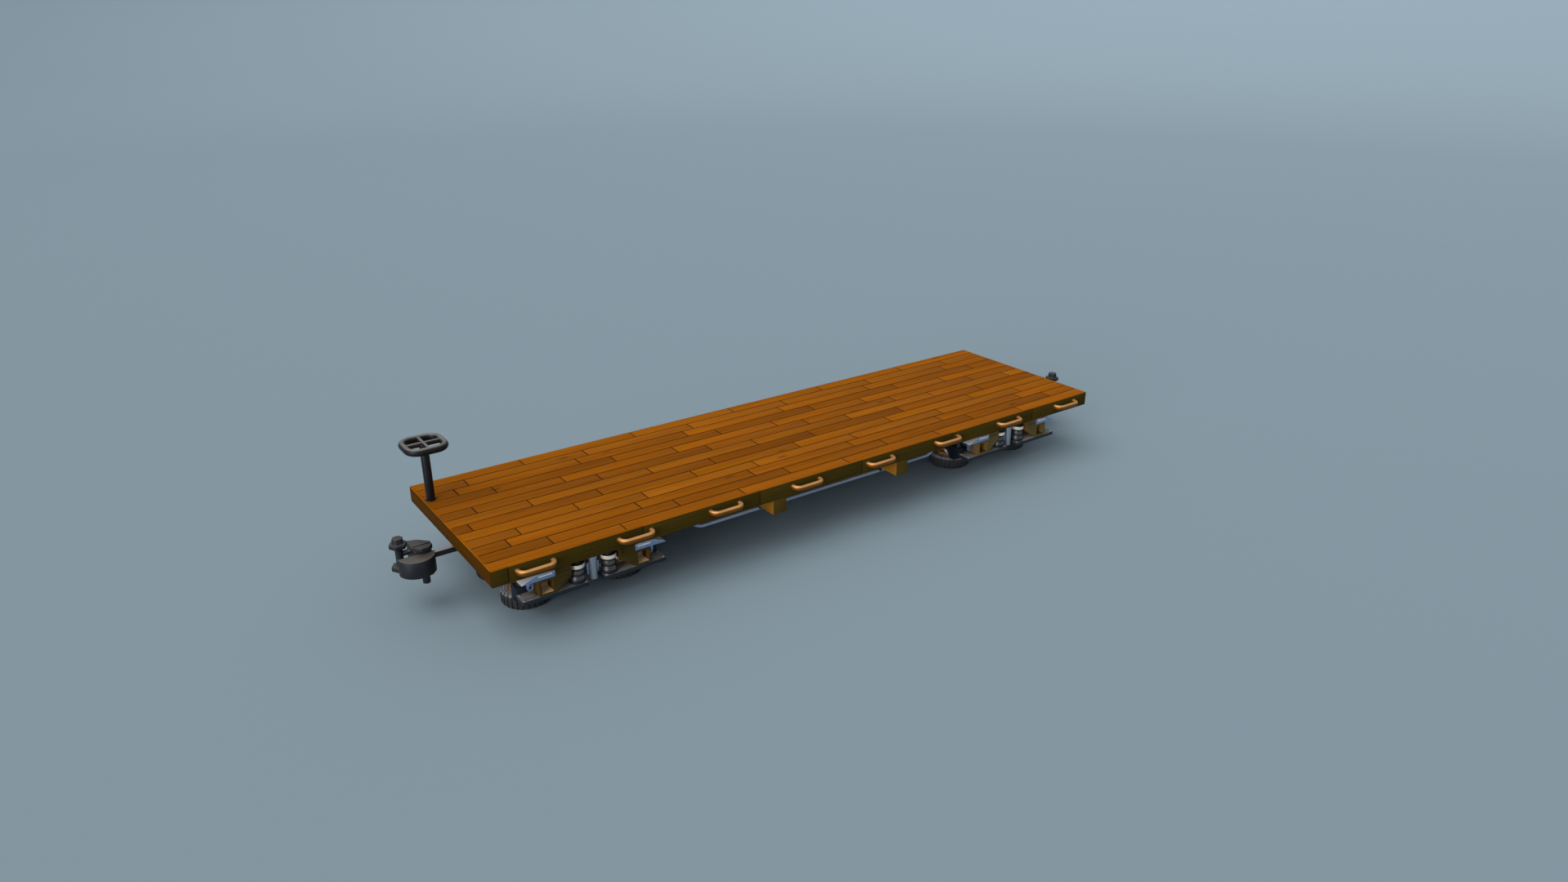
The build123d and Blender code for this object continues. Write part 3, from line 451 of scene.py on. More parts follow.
def pick_faces(piece, wanted):
    """Selects the faces whose centre and normal the test accepts, and no others."""
    bpy.ops.mesh.select_mode(type="FACE")
    bpy.ops.mesh.select_all(action="DESELECT")
    shape = bmesh.from_edit_mesh(piece.data)
    shape.normal_update()
    for face in shape.faces:
        face.select_set(wanted(face.calc_center_median(), face.normal))
    bmesh.update_edit_mesh(piece.data)


def looks_up(centre, normal):
    return normal.z > UPWARD


def pick_points(piece, wanted):
    """Opens the piece, selects the points whose place the test accepts, and returns their number."""
    edit(piece, "VERT")
    bpy.ops.mesh.select_all(action="DESELECT")
    shape = bmesh.from_edit_mesh(piece.data)
    picked = [point for point in shape.verts if wanted(point.co)]
    for point in picked:
        point.select_set(True)
    bmesh.update_edit_mesh(piece.data)
    return len(picked)


print("selecting helpers ready")

# %% Helpers for shaping and finishing
TOUCHING = 0.00001
SLIVER = 0.00002
SMOOTH_ANGLE = 35.0


def paint(piece, finishes, choose=None):
    """Gives each face the finish whose number choose(centre, normal) returns, or else the first."""
    piece.data.materials.clear()
    for finish in finishes:
        piece.data.materials.append(finish)
    for face in piece.data.polygons:
        face.material_index = choose(face.center, face.normal) if choose else 0


def refinish(piece, finish, wanted):
    """Gives a further finish to the faces whose centre and normal the test accepts."""
    piece.data.materials.append(finish)
    changed = [face for face in piece.data.polygons if wanted(face.center, face.normal)]
    for face in changed:
        face.material_index = len(piece.data.materials) - 1
    return len(changed)


def apply_modifier(piece, kind, **settings):
    work_on(piece)
    modifier = piece.modifiers.new(kind.lower(), kind)
    for key, value in settings.items():
        setattr(modifier, key, value)
    bpy.ops.object.modifier_apply(modifier=modifier.name)


def round_edges(piece, width, segments=2, degrees=30.0, material=-1, clamp=True):
    apply_modifier(
        piece,
        "BEVEL",
        width=width,
        segments=segments,
        limit_method="ANGLE",
        angle_limit=math.radians(degrees),
        material=material,
        use_clamp_overlap=clamp,
    )


def merge_slivers(piece):
    """Takes out faces without any area, which a bevel leaves where two of its edges meet."""
    edit(piece)
    bpy.ops.mesh.select_all(action="SELECT")
    bpy.ops.mesh.dissolve_degenerate(threshold=SLIVER)
    leave()


def smooth(piece, degrees=SMOOTH_ANGLE):
    work_on(piece)
    bpy.ops.object.shade_smooth_by_angle(angle=math.radians(degrees))


def settle(piece, name):
    """Names a new primitive and moves its place into its mesh."""
    work_on(piece)
    piece.name = name
    bpy.ops.object.transform_apply(location=True, rotation=True, scale=True)
    return piece


def copy_at(piece, name, place=(0.0, 0.0, 0.0), turn=0.0):
    """A copy with its own mesh, turned about the upright axis and then moved."""
    copy = bpy.data.objects.new(name, piece.data.copy())
    bpy.context.scene.collection.objects.link(copy)
    copy.data.transform(Matrix.Translation(place) @ Matrix.Rotation(turn, 4, "Z"))
    return copy


def joined(name, pieces):
    work_on(*pieces)
    if len(pieces) > 1:
        bpy.ops.object.join()
    whole = bpy.context.object
    whole.name = name
    return whole


def discard(piece):
    bpy.data.objects.remove(piece, do_unlink=True)


def hand_over(piece, body, slot, *replaced):
    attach(piece, body)
    if replaced:
        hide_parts(*replaced)


print("shaping helpers ready")

# %% [markdown]
# ## Eased edges
# No sawn board or forged bar has a razor edge: saws, planes and wear round it, and that narrow round is
# what catches the light. A copy of each square-edged solid has its loose triangles merged into real faces,
# and a Bevel modifier then rounds every sharp edge. Modelling each block again from a cube would give the
# same shape with more places to go wrong.

# %% Ease the square pieces
CAD_TOUCHING = 0.00005
FLAT_ANGLE = 1.0
SHARP_ANGLE = 40.0


def eased(node, width, finish, edge=None, segments=2, clamp=True):
    piece = bpy.data.objects.new("eased_" + node, nodes[node].data.copy())
    bpy.context.scene.collection.objects.link(piece)
    edit(piece)
    bpy.ops.mesh.customdata_custom_splitnormals_clear()
    bpy.ops.mesh.select_all(action="SELECT")
    bpy.ops.mesh.remove_doubles(threshold=CAD_TOUCHING)
    bpy.ops.mesh.dissolve_limited(angle_limit=math.radians(FLAT_ANGLE))
    leave()
    paint(piece, [finish, edge] if edge else [finish])
    round_edges(piece, width, segments, SHARP_ANGLE, 1 if edge else -1, clamp)
    smooth(piece)
    hand_over(piece, body_of_node[node], slot_of_node[node], node)
    return piece


# Node or part, width of the round, finish, finish of the round where it has one, segments and clamp
EASED_CAR = (
    ("deck_boards", 0.0065, DECK_TIMBER, DECK_EDGE, 2, False),
    ("facing_boards", 0.004, SIDE_TIMBER_PAINTED_SHADE, SIDE_EDGE),
    ("side_sills", 0.006, FRAME_TIMBER, None),
    ("end_sills", 0.006, CROSS_TIMBER, None),
    ("long_sills", 0.006, FRAME_TIMBER, None),
    ("joists", 0.006, CROSS_TIMBER, None),
    ("body_bolsters", 0.006, GUNMETAL, GUNMETAL_EDGE),
    ("needle_beams", 0.008, CROSS_TIMBER, None),
    ("truss_rods", 0.004, ROD_STEEL, None),
    ("queen_posts", 0.003, GUNMETAL, GUNMETAL_EDGE),
    ("draft_pockets", 0.004, GUNMETAL, GUNMETAL_EDGE),
    ("staff_collar", 0.001, CARRIER_STEEL, None),
    ("brake_staff", 0.004, BRAKE_IRON, None),
)
EASED_TRUCK = (
    ("bolster", 0.006, BRIGHT_STEEL, BRIGHT_EDGE),
    ("columns", 0.004, COLUMN_STEEL, None),
    ("top_bars", 0.004, GUNMETAL, GUNMETAL_EDGE),
    ("plates", 0.003, PLATE_STEEL, None),
    ("blocks", 0.005, BLOCK_TIMBER, None),
    ("wedges", 0.004, BRIGHT_STEEL, None),
    ("eyes", 0.004, BRIGHT_STEEL, None),
    ("carriers", 0.005, CARRIER_STEEL, None),
)
EASED_COUPLER = (
    ("head", 0.005, GUNMETAL, GUNMETAL_EDGE),
    ("pins", 0.004, BOLT_STEEL, None),
)

square_pieces = {row[0]: eased(*row) for row in EASED_CAR}
for end in "ab":
    for part, *look in EASED_TRUCK:
        square_pieces[f"truck_{end}_{part}"] = eased(f"truck_{end}_{part}", *look)
    for part, *look in EASED_COUPLER:
        square_pieces[f"coupler_{end}_{part}"] = eased(f"coupler_{end}_{part}", *look)
face_count = sum(len(piece.data.polygons) for piece in square_pieces.values())
print("eased pieces:", len(square_pieces), "with", face_count, "faces")

# %% [markdown]
# A truck turns on the king pin and a drawbar on the pin of its pocket. Pin and hole are many-sided here, and
# when one turns, its corners would cut into the flats of the other. Scaling the wall of each hole about its
# own axis opens it by a few percent. The real hole has such play too, and none of it shows from outside.

# %% Open the holes of the turning pieces
TRUCK_CENTRE = 3.390
DRAWBAR_PIN = 4.285
PIN_HOLES = {"truck_{}_bolster": (TRUCK_CENTRE, 0.0405), "coupler_{}_head": (DRAWBAR_PIN, 0.0305)}
HOLE_PLAY = 1.03

for end, sign in (("a", 1), ("b", -1)):
    for part, (hole_x, radius) in PIN_HOLES.items():
        piece = square_pieces[part.format(end)]
        centre = Vector((sign * hole_x, 0.0, 0.0))
        wall = pick_points(piece, lambda at: (at - centre).xy.length < radius)
        bpy.ops.transform.resize(value=(HOLE_PLAY, HOLE_PLAY, 1.0), center_override=centre)
        leave()
        print("hole of", piece.name, "opened at", wall, "points")

# %% [markdown]
# The facing boards go round the car, so one direction of grain cannot suit them all. The boards across the
# ends get the timber whose grain runs across, darkened as painted shade, and the narrow tops belong to the
# deck's surface and take its tones, with their bevels. Only the upright seams keep the dark edge. The
# outermost edges of the deck boards lie under dust rather than dirt, so they lose their dark line too.

# %% Turn the grain on the ends
END_FACE_X = 4.655
RIM_X = 4.646
RIM_Y = 1.262
SIDEWAYS = 0.6  # a normal that leans this far counts as looking that way
SLOPING_UP = 0.3


def on_end(centre, normal):
    return abs(normal.x) > SIDEWAYS and abs(centre.x) > END_FACE_X


def slopes_up(centre, normal):
    return normal.z > SLOPING_UP


def at_rim(place, normal=None):
    return abs(place.x) > RIM_X or abs(place.y) > RIM_Y


facing = square_pieces["facing_boards"]
end_faces = refinish(facing, END_TIMBER_PAINTED_SHADE, on_end)
top_faces = refinish(facing, DECK_TIMBER, slopes_up)
rim_faces = refinish(square_pieces["deck_boards"], DECK_TIMBER, at_rim)
print("facing boards:", end_faces, "end faces,", top_faces, "top faces; deck:", rim_faces, "rim faces")

# %% [markdown]
# The deck boards meet the facing boards flush, with no open groove. So the bevels on both sides of that
# joint are pressed flat again: a resize to nothing along the upright axis, about a centre at the height of
# the deck, lifts all their points to that height. The same resize draws the deck out by a millimetre.

# %% Close the joint round the rim
DECK_TOP = 0.985
BEVEL_DEPTH = 0.008
INNER_X = 4.6595
INNER_Y = 1.2745
RIM_DRAW = (1.0003, 1.0011)


def press_flat(piece, wanted, draw_out=(1.0, 1.0)):
    bevel = pick_points(piece, lambda at: at.z > DECK_TOP - BEVEL_DEPTH and wanted(at))
    bpy.ops.transform.resize(value=(*draw_out, 0.0), center_override=(0.0, 0.0, DECK_TOP))
    leave()
    smooth(piece)
    return bevel


deck_points = press_flat(square_pieces["deck_boards"], at_rim, RIM_DRAW)
facing_points = press_flat(facing, lambda at: abs(at.x) < INNER_X and abs(at.y) < INNER_Y)
print("rim pressed flat:", deck_points, "points of the deck,", facing_points, "of the facing")

# %% [markdown]
# Boards from one tree still differ, so every loose board gets a shade of its own. It is kept in the mesh
# as a face attribute that the deck timber multiplies its tone with. Walking from face to face over shared
# edges finds each board, because no two boards share an edge.

# %% Shade each board
SHADE_RANGE = (0.88, 1.10)
SHADE_SEED = 11

draw = random.Random(SHADE_SEED)


def shade_boards(piece):
    shape = bmesh.new()
    shape.from_mesh(piece.data)
    layer = shape.faces.layers.float.new(BOARD_SHADE)
    boards = 0
    for face in shape.faces:
        face.tag = False
    for first in shape.faces:
        if first.tag:
            continue
        boards += 1
        shade = draw.uniform(*SHADE_RANGE)
        first.tag = True
        waiting = [first]
        while waiting:
            face = waiting.pop()
            face[layer] = shade
            for edge in face.edges:
                for near in edge.link_faces:
                    if not near.tag:
                        near.tag = True
                        waiting.append(near)
    shape.to_mesh(piece.data)
    shape.free()
    return boards


print("shaded boards:", shade_boards(square_pieces["deck_boards"]), "and", shade_boards(facing))

# %% [markdown]
# ## Single faces of the iron and timber work
# A few faces look different from the rest of their piece. The needle beams' sawn ends are a darker copy of
# their timber, which is painted shade. The faces of the wedges that look up are painted white as a painted
# reflection of the light from above, a block is paler across its ends as painted light, the floor and back
# of its window are painted pale as painted light in that recess, the blocks of truck a are paler than those
# of truck b, and the drawbar carries a painted highlight along its top that makes it brighter than the
# coupler's head. Cutting these pieces in two would do it as well, but a second finish on the same mesh keeps
# the edge between them exact.

# %% Finish single faces
WINDOW_FLOOR = (0.385, 0.405)
WINDOW_BACK = 0.950
DRAWBAR_END = 4.900
# The end tones of the blocks are painted light, and the window timber is painted light in the window recess.
BLOCK_LOOKS = {
    "a": (PALE_BLOCK, PALE_BLOCK_END, BLOCK_END),
    "b": (BLOCK_TIMBER, BLOCK_END, WINDOW_PAINTED_LIGHT),
}


def on_window_floor(centre, normal):
    return looks_up(centre, normal) and WINDOW_FLOOR[0] < centre.z < WINDOW_FLOOR[1]


def on_window_back(centre, normal):
    """True on faces that look out of the truck but lie deeper than a block's outer face."""
    return normal.y * math.copysign(1.0, centre.y) > SIDEWAYS and abs(centre.y) < WINDOW_BACK


# the needle beams' sawn ends take the darker copy: painted shade
sawn = refinish(square_pieces["needle_beams"], END_GRAIN_PAINTED_SHADE, lambda centre, normal: abs(normal.y) > SIDEWAYS)
print("needle beams:", sawn, "sawn faces")
for end in "ab":
    blocks = square_pieces[f"truck_{end}_blocks"]
    side, sawn_end, window_floor = BLOCK_LOOKS[end]
    refinish(blocks, side, lambda centre, normal: True)
    refinish(blocks, sawn_end, lambda centre, normal: abs(normal.x) > SIDEWAYS)
    # painted light on the floor and back of the window
    pale = refinish(blocks, window_floor, on_window_floor)
    pale += refinish(blocks, WINDOW_PAINTED_LIGHT, on_window_back)
    wedges = square_pieces[f"truck_{end}_wedges"]
    merge_slivers(wedges)
    smooth(wedges)
    # painted reflection: the faces that look up are white
    white = refinish(wedges, WEDGE_PAINTED_HIGHLIGHT, slopes_up)
    head = square_pieces[f"coupler_{end}_head"]
    # painted highlight along the top of the drawbar
    drawbar_highlight_faces = refinish(head, DRAWBAR_STEEL, lambda centre, normal: abs(centre.x) < DRAWBAR_END)
    print("end", end, ":", white, "wedge faces,", pale, "window faces,", drawbar_highlight_faces, "drawbar faces")

# %% [markdown]
# ## Grab handles
# Each handle is one round copper-coloured bar, bent at both ends and let into the facing board. A curve
# with a bevel would also give a bent bar; here a ring of edges is drawn out of the board, spun through a
# quarter turn, drawn along and spun back, as the bar itself is bent. One is modelled at the middle of the
# left side, copied along that side, and turned half round for the other.

# %% Helper that bends a bar
QUARTER_TURN = math.radians(90.0)
UPRIGHT = (0.0, 0.0, 1.0)


def bent_bar(name, around, radius, start, first_way, bends, steps):
    """Draws a ring of edges along its first way, then round each bend, given as (centre, way on)."""
    bpy.ops.object.select_all(action="DESELECT")
    bpy.ops.mesh.primitive_circle_add(
        vertices=around, radius=radius, location=start, rotation=(QUARTER_TURN, 0.0, 0.0)
    )
    piece = settle(bpy.context.object, name)
    edit(piece, "EDGE")
    bpy.ops.mesh.select_all(action="SELECT")
    bpy.ops.mesh.extrude_edges_move(TRANSFORM_OT_translate={"value": first_way})
    for centre, way_on in bends:
        bpy.ops.mesh.spin(steps=steps, angle=QUARTER_TURN, center=centre, axis=UPRIGHT)
        bpy.ops.mesh.extrude_edges_move(TRANSFORM_OT_translate={"value": way_on})
    bpy.ops.mesh.select_all(action="SELECT")
    bpy.ops.mesh.remove_doubles(threshold=TOUCHING)
    bpy.ops.mesh.fill_holes(sides=0)
    bpy.ops.mesh.normals_make_consistent(inside=False)
    leave()
    return piece


print("bar helper ready")

# %% Bend one grab handle
HANDLE_Z = 0.901
HANDLE_HALF = 0.2034
HANDLE_REACH = 0.0968
HANDLE_BEND = 0.085
HANDLE_RADIUS = 0.0330
HANDLE_AROUND = 20
HANDLE_STEPS = 9
HANDLE_SMOOTH = 50.0

straight = HANDLE_REACH - HANDLE_BEND
bend_x = HANDLE_HALF - HANDLE_BEND
bend_y = DECK_EDGE_Y + straight
handle = bent_bar(
    "handle_pattern",
    HANDLE_AROUND,
    HANDLE_RADIUS,
    (-HANDLE_HALF, DECK_EDGE_Y, HANDLE_Z),
    (0.0, straight, 0.0),
    (
        ((-bend_x, bend_y, HANDLE_Z), (2 * bend_x, 0.0, 0.0)),
        ((bend_x, bend_y, HANDLE_Z), (0.0, -straight, 0.0)),
    ),
    HANDLE_STEPS,
)
paint(handle, [HANDLE_COPPER])
smooth(handle, HANDLE_SMOOTH)
print("handle:", len(handle.data.polygons), "faces,", [round(size, 3) for size in handle.dimensions])

# %% Copy the handles along both sides
HANDLES_PER_SIDE = 8
HANDLE_FIRST = -4.196
HANDLE_PITCH = -2 * HANDLE_FIRST / (HANDLES_PER_SIDE - 1)

handles = []
for i in range(HANDLES_PER_SIDE):
    x = HANDLE_FIRST + i * HANDLE_PITCH
    handles.append(copy_at(handle, f"handle_left_{i}", (x, 0.0, 0.0)))
    handles.append(copy_at(handle, f"handle_right_{i}", (x, 0.0, 0.0), math.pi))
discard(handle)
hand_over(joined("grab_bars", handles), "car", "copper", "grab_handles")
print("grab handles:", len(handles))

# %% [markdown]
# ## Hand wheel
# The brake's hand wheel is a thick iron bar, bent to a square with wide round corners, with a cross of two
# ridged spokes over a low hub. The chamfers of the solid would show as flat bands, and hands have worn the
# real bar round. So it is bent like the handles: a ring of edges goes along each side and round each corner
# until it meets itself, and is then stretched upright a little. The spokes are six-sided bars.

# %% Bend the hand wheel's rim
RIM_HALF = 0.218
RIM_BEND = 0.135
RIM_BAR = 0.040
RIM_AROUND = 24
RIM_STEPS = 10
RIM_STRETCH = 1.125

half_side = RIM_HALF - RIM_BEND
wheel_rim = bent_bar(
    "wheel_rim",
    RIM_AROUND,
    RIM_BAR,
    (-RIM_HALF, 0.0, 0.0),
    (0.0, half_side, 0.0),
    (
        ((-half_side, half_side, 0.0), (2 * half_side, 0.0, 0.0)),
        ((half_side, half_side, 0.0), (0.0, -2 * half_side, 0.0)),
        ((half_side, -half_side, 0.0), (-2 * half_side, 0.0, 0.0)),
        ((-half_side, -half_side, 0.0), (0.0, half_side, 0.0)),
    ),
    RIM_STEPS,
)
edit(wheel_rim)
bpy.ops.mesh.select_all(action="SELECT")
bpy.ops.transform.resize(value=(1.0, 1.0, RIM_STRETCH), center_override=(0.0, 0.0, 0.0))
leave()
print("wheel rim:", [round(size, 3) for size in wheel_rim.dimensions])

# %% Add the spokes and the hub
SPOKE_RADIUS = 0.030
SPOKE_Z = 0.009
SPOKE_ROUND = 0.004
CROSS_DROP = 0.001  # keeps the faces of the two spokes apart
HUB_RADIUS = 0.051
HUB_HEIGHT = 0.048
HUB_INSET = 0.014
HUB_DOME = 0.006
HUB_ROUND = 0.003
WHEEL_FOOT = -0.045
WHEEL_PLACE = (-4.595, 0.776, 1.690)

bpy.ops.object.select_all(action="DESELECT")
bpy.ops.mesh.primitive_cylinder_add(
    vertices=6,
    radius=SPOKE_RADIUS,
    depth=2 * RIM_HALF,
    location=(0.0, 0.0, SPOKE_Z),
    rotation=(0.0, QUARTER_TURN, 0.0),
)
spoke = settle(bpy.context.object, "spoke_along")
round_edges(spoke, SPOKE_ROUND)
cross_spoke = copy_at(spoke, "spoke_across", (0.0, 0.0, -CROSS_DROP), QUARTER_TURN)

bpy.ops.object.select_all(action="DESELECT")
hub_place = (0.0, 0.0, WHEEL_FOOT + HUB_HEIGHT / 2)
bpy.ops.mesh.primitive_cylinder_add(vertices=32, radius=HUB_RADIUS, depth=HUB_HEIGHT, location=hub_place)
hub = settle(bpy.context.object, "wheel_hub")
edit(hub)
pick_faces(hub, looks_up)
bpy.ops.mesh.inset(thickness=HUB_INSET)
bpy.ops.transform.translate(value=(0.0, 0.0, HUB_DOME))
leave()
round_edges(hub, HUB_ROUND)

for piece in (wheel_rim, spoke, cross_spoke, hub):
    paint(piece, [BRAKE_IRON])
    smooth(piece)
pattern = joined("hand_wheel_pattern", [wheel_rim, spoke, cross_spoke, hub])
hand_wheel = copy_at(pattern, "hand_wheel", WHEEL_PLACE)
discard(pattern)
hand_over(hand_wheel, "brake", "dark_steel", "brake_wheel")
print("hand wheel:", [round(size, 3) for size in hand_wheel.dimensions])

# %% [markdown]
# ## Turned pieces
# Springs, tyres and rims are round about an upright axis. A lathe cuts such a shape from its profile, and
# the Screw modifier can do that from a drawn outline. Here a ring of edges is pulled up through the
# profile step by step, which keeps the number of points round the ring in hand for the tyre's lugs.

# %% Helper that pulls a ring through a profile
def pulled_ring(name, profile, around):
    """profile is a list of (radius, height); where it ends as it began, the ring closes on itself."""
    radius, height = profile[0]
    bpy.ops.object.select_all(action="DESELECT")
    bpy.ops.mesh.primitive_circle_add(vertices=around, radius=radius, location=(0.0, 0.0, height))
    piece = settle(bpy.context.object, name)
    edit(piece, "EDGE")
    bpy.ops.mesh.select_all(action="SELECT")
    for next_radius, next_height in profile[1:]:
        bpy.ops.mesh.extrude_edges_move(TRANSFORM_OT_translate={"value": (0.0, 0.0, next_height - height)})
        grow = next_radius / radius
        bpy.ops.transform.resize(value=(grow, grow, 1.0))
        radius, height = next_radius, next_height
    bpy.ops.mesh.select_all(action="SELECT")
    bpy.ops.mesh.remove_doubles(threshold=TOUCHING)
    bpy.ops.mesh.fill_holes(sides=0)
    bpy.ops.mesh.select_all(action="SELECT")
    bpy.ops.mesh.normals_make_consistent(inside=False)
    leave()
    return piece


print("ring helper ready")

# %% [markdown]
# ## Spring stacks
# A stack of steel rings with dark cushions between them stands on each foot plate beside the column, under
# a pale cap. The rings taper a little upwards. The finish of a face follows from its height.

# %% Turn one spring stack
PLATE_TOP = 0.365
SPRING_TOP = 0.740
SPRING_AROUND = 40
SPRING_ROUND = 0.005
STEM_RADIUS = 0.050
BAND_SLACK = 0.0005
LEVEL = 0.8  # a normal that leans this far makes the face a flat shoulder of a ring
# Foot radius, head radius, height and finish of each ring, from the plate up
GROOVE, RING, CAP = range(3)
SPRING_RINGS = (
    (0.095, 0.095, 0.045, GROOVE),
    (0.092, 0.086, 0.047, RING),
    (0.076, 0.076, 0.022, GROOVE),
    (0.086, 0.080, 0.047, RING),
    (0.076, 0.076, 0.028, GROOVE),
    (0.092, 0.092, 0.046, CAP),
)

profile, bands = [], []
height = PLATE_TOP
for foot, head, rise, finish in SPRING_RINGS:
    profile += [(foot, height), (head, height + rise)]
    bands.append((height, height + rise, finish))
    height += rise
profile += [(STEM_RADIUS, height), (STEM_RADIUS, SPRING_TOP)]


def ring_finish(centre, normal):
    for low, high, finish in bands:
        if low - BAND_SLACK <= centre.z <= high + BAND_SLACK and abs(normal.z) < LEVEL:
            return finish
    return RING if normal.z > LEVEL and centre.z > bands[-1][0] else GROOVE


spring = pulled_ring("spring_pattern", profile, SPRING_AROUND)
paint(spring, [RING_GROOVE, RING_STEEL, RING_CAP], ring_finish)
round_edges(spring, SPRING_ROUND)
merge_slivers(spring)
smooth(spring)
print("spring stack:", len(spring.data.polygons), "faces,", round(height - PLATE_TOP, 3), "m of rings")

# %% Stand the stacks on the trucks
TRUCK_X = {"a": TRUCK_CENTRE, "b": -TRUCK_CENTRE}
CORNERS = ((1, 1), (1, -1), (-1, 1), (-1, -1))
SPRING_X = 0.200
SPRING_Y = 0.970

for end, truck_x in TRUCK_X.items():
    stacks = []
    for i, (along, across) in enumerate(CORNERS):
        place = (truck_x + along * SPRING_X, across * SPRING_Y, 0.0)
        stacks.append(copy_at(spring, f"spring_{end}_{i}", place))
    stack_set = joined(f"spring_stacks_{end}", stacks)
    hand_over(stack_set, f"truck_{end}", "spring_steel", f"truck_{end}_springs")
    print("springs of truck", end, "at", [round(x, 3) for x in (truck_x - SPRING_X, truck_x + SPRING_X)])
discard(spring)

# %% [markdown]
# ## Tyres
# The wheels lie flat, like the guide wheels of a roller track, so a tyre shows its sidewall on top and its
# lugs all round. Five points of the ring go to each lug: three faces of every five are pushed out along
# their normals, from the tread over both shoulders, and the two between them stay back as the groove.

# %% Turn one tyre and push out its lugs
LUGS = 28
FACES_PER_LUG = 5
LUG_FACES = 3
LUG_DEPTH = 0.0135
LUG_ROUND = 0.0025
TREAD_START = 0.262
# Radius and height, from the foot of the bore over the lower sidewall, tread and upper sidewall
TYRE_PROFILE = (
    (0.1905, 0.012),
    (0.1960, 0.004),
    (0.2060, 0.001),
    (0.2240, 0.001),
    (0.2270, 0.004),
    (0.2330, 0.004),
    (0.2360, 0.001),
    (0.2480, 0.001),
    (0.2640, 0.009),
    (0.2810, 0.028),
    (0.2830, 0.088),
    (0.2810, 0.148),
    (0.2640, 0.167),
    (0.2480, 0.175),
    (0.2360, 0.175),
    (0.2330, 0.172),
    (0.2270, 0.172),
    (0.2240, 0.175),
    (0.2060, 0.175),
    (0.1960, 0.172),
    (0.1905, 0.164),
    (0.1905, 0.012),
)


def on_lug(centre, normal):
    turn = math.atan2(centre.y, centre.x) / (2 * math.pi) % 1.0
    share = turn * LUGS * FACES_PER_LUG % FACES_PER_LUG
    return math.hypot(centre.x, centre.y) > TREAD_START and share < LUG_FACES


tyre = pulled_ring("tyre_pattern", TYRE_PROFILE, LUGS * FACES_PER_LUG)
edit(tyre)
pick_faces(tyre, on_lug)
bpy.ops.mesh.extrude_region_shrink_fatten(TRANSFORM_OT_shrink_fatten={"value": LUG_DEPTH})
leave()
paint(tyre, [RUBBER])
round_edges(tyre, LUG_ROUND, 1, SHARP_ANGLE)
merge_slivers(tyre)
smooth(tyre)
print("tyre:", len(tyre.data.polygons), "faces,", [round(size, 3) for size in tyre.dimensions])

# %% [markdown]
# ## Rims
# Inside each tyre a copper-coloured barrel carries a bright dished web and the hub that runs on the
# carrier's pin. Four copper clamps and four nuts hold the web. The rim is another pulled ring. A clamp
# starts as a cube whose top is inset and raised, and a nut as a six-sided cylinder with a raised collar.

# %% Turn one rim
# Radius and height, from the foot of the hub over the barrel and the web to the top of the hub
RIM_PROFILE = (
    (0.0351, 0.046),
    (0.0760, 0.046),
    (0.0800, 0.050),
    (0.0800, 0.125),
    (0.1600, 0.125),
    (0.1720, 0.114),
    (0.1720, 0.017),
    (0.1890, 0.017),
    (0.1900, 0.024),
    (0.1900, 0.168),
    (0.1880, 0.175),
    (0.1740, 0.175),
    (0.1720, 0.170),
    (0.1720, 0.162),
    (0.1600, 0.150),
    (0.0960, 0.150),
    (0.0840, 0.162),
    (0.0800, 0.176),
    (0.0800, 0.206),
    (0.0740, 0.218),
    (0.0440, 0.219),
    (0.0351, 0.214),
    (0.0351, 0.046),
)
BARREL_RADIUS = 0.165
BARREL_AROUND = 64
BARREL_ROUND = 0.002

rim = pulled_ring("rim_pattern", RIM_PROFILE, BARREL_AROUND)
paint(
    rim,
    [HUB_STEEL, COPPER],
    lambda centre, normal: int(math.hypot(centre.x, centre.y) > BARREL_RADIUS),
)
round_edges(rim, BARREL_ROUND)
smooth(rim)
print("rim:", len(rim.data.polygons), "faces")

# %% Model the clamps and nuts on the web
WEB_TOP = 0.150
FITTING_RADIUS = 0.128
FITTINGS = 8
CLAMP_SIZE = (0.056, 0.100, 0.030)
CLAMP_INSET = 0.008
CLAMP_RISE = 0.006
CLAMP_ROUND = 0.003
NUT_RADIUS = 0.022
NUT_HEIGHT = 0.022
NUT_INSET = 0.007
NUT_COLLAR = 0.008
NUT_ROUND = 0.002

bpy.ops.object.select_all(action="DESELECT")
bpy.ops.mesh.primitive_cube_add(size=1.0, location=(FITTING_RADIUS, 0.0, WEB_TOP + CLAMP_SIZE[2] / 2))
clamp = bpy.context.object
clamp.scale = CLAMP_SIZE
settle(clamp, "clamp_pattern")
edit(clamp)
pick_faces(clamp, looks_up)
bpy.ops.mesh.inset(thickness=CLAMP_INSET)
bpy.ops.transform.translate(value=(0.0, 0.0, CLAMP_RISE))
leave()
paint(clamp, [COPPER])
round_edges(clamp, CLAMP_ROUND)

bpy.ops.object.select_all(action="DESELECT")
nut_place = (FITTING_RADIUS, 0.0, WEB_TOP + NUT_HEIGHT / 2)
bpy.ops.mesh.primitive_cylinder_add(vertices=6, radius=NUT_RADIUS, depth=NUT_HEIGHT, location=nut_place)
nut = settle(bpy.context.object, "nut_pattern")
edit(nut)
pick_faces(nut, looks_up)
bpy.ops.mesh.inset(thickness=NUT_INSET)
bpy.ops.mesh.extrude_region_move(TRANSFORM_OT_translate={"value": (0.0, 0.0, NUT_COLLAR)})
leave()
paint(nut, [RING_STEEL])
round_edges(nut, NUT_ROUND)

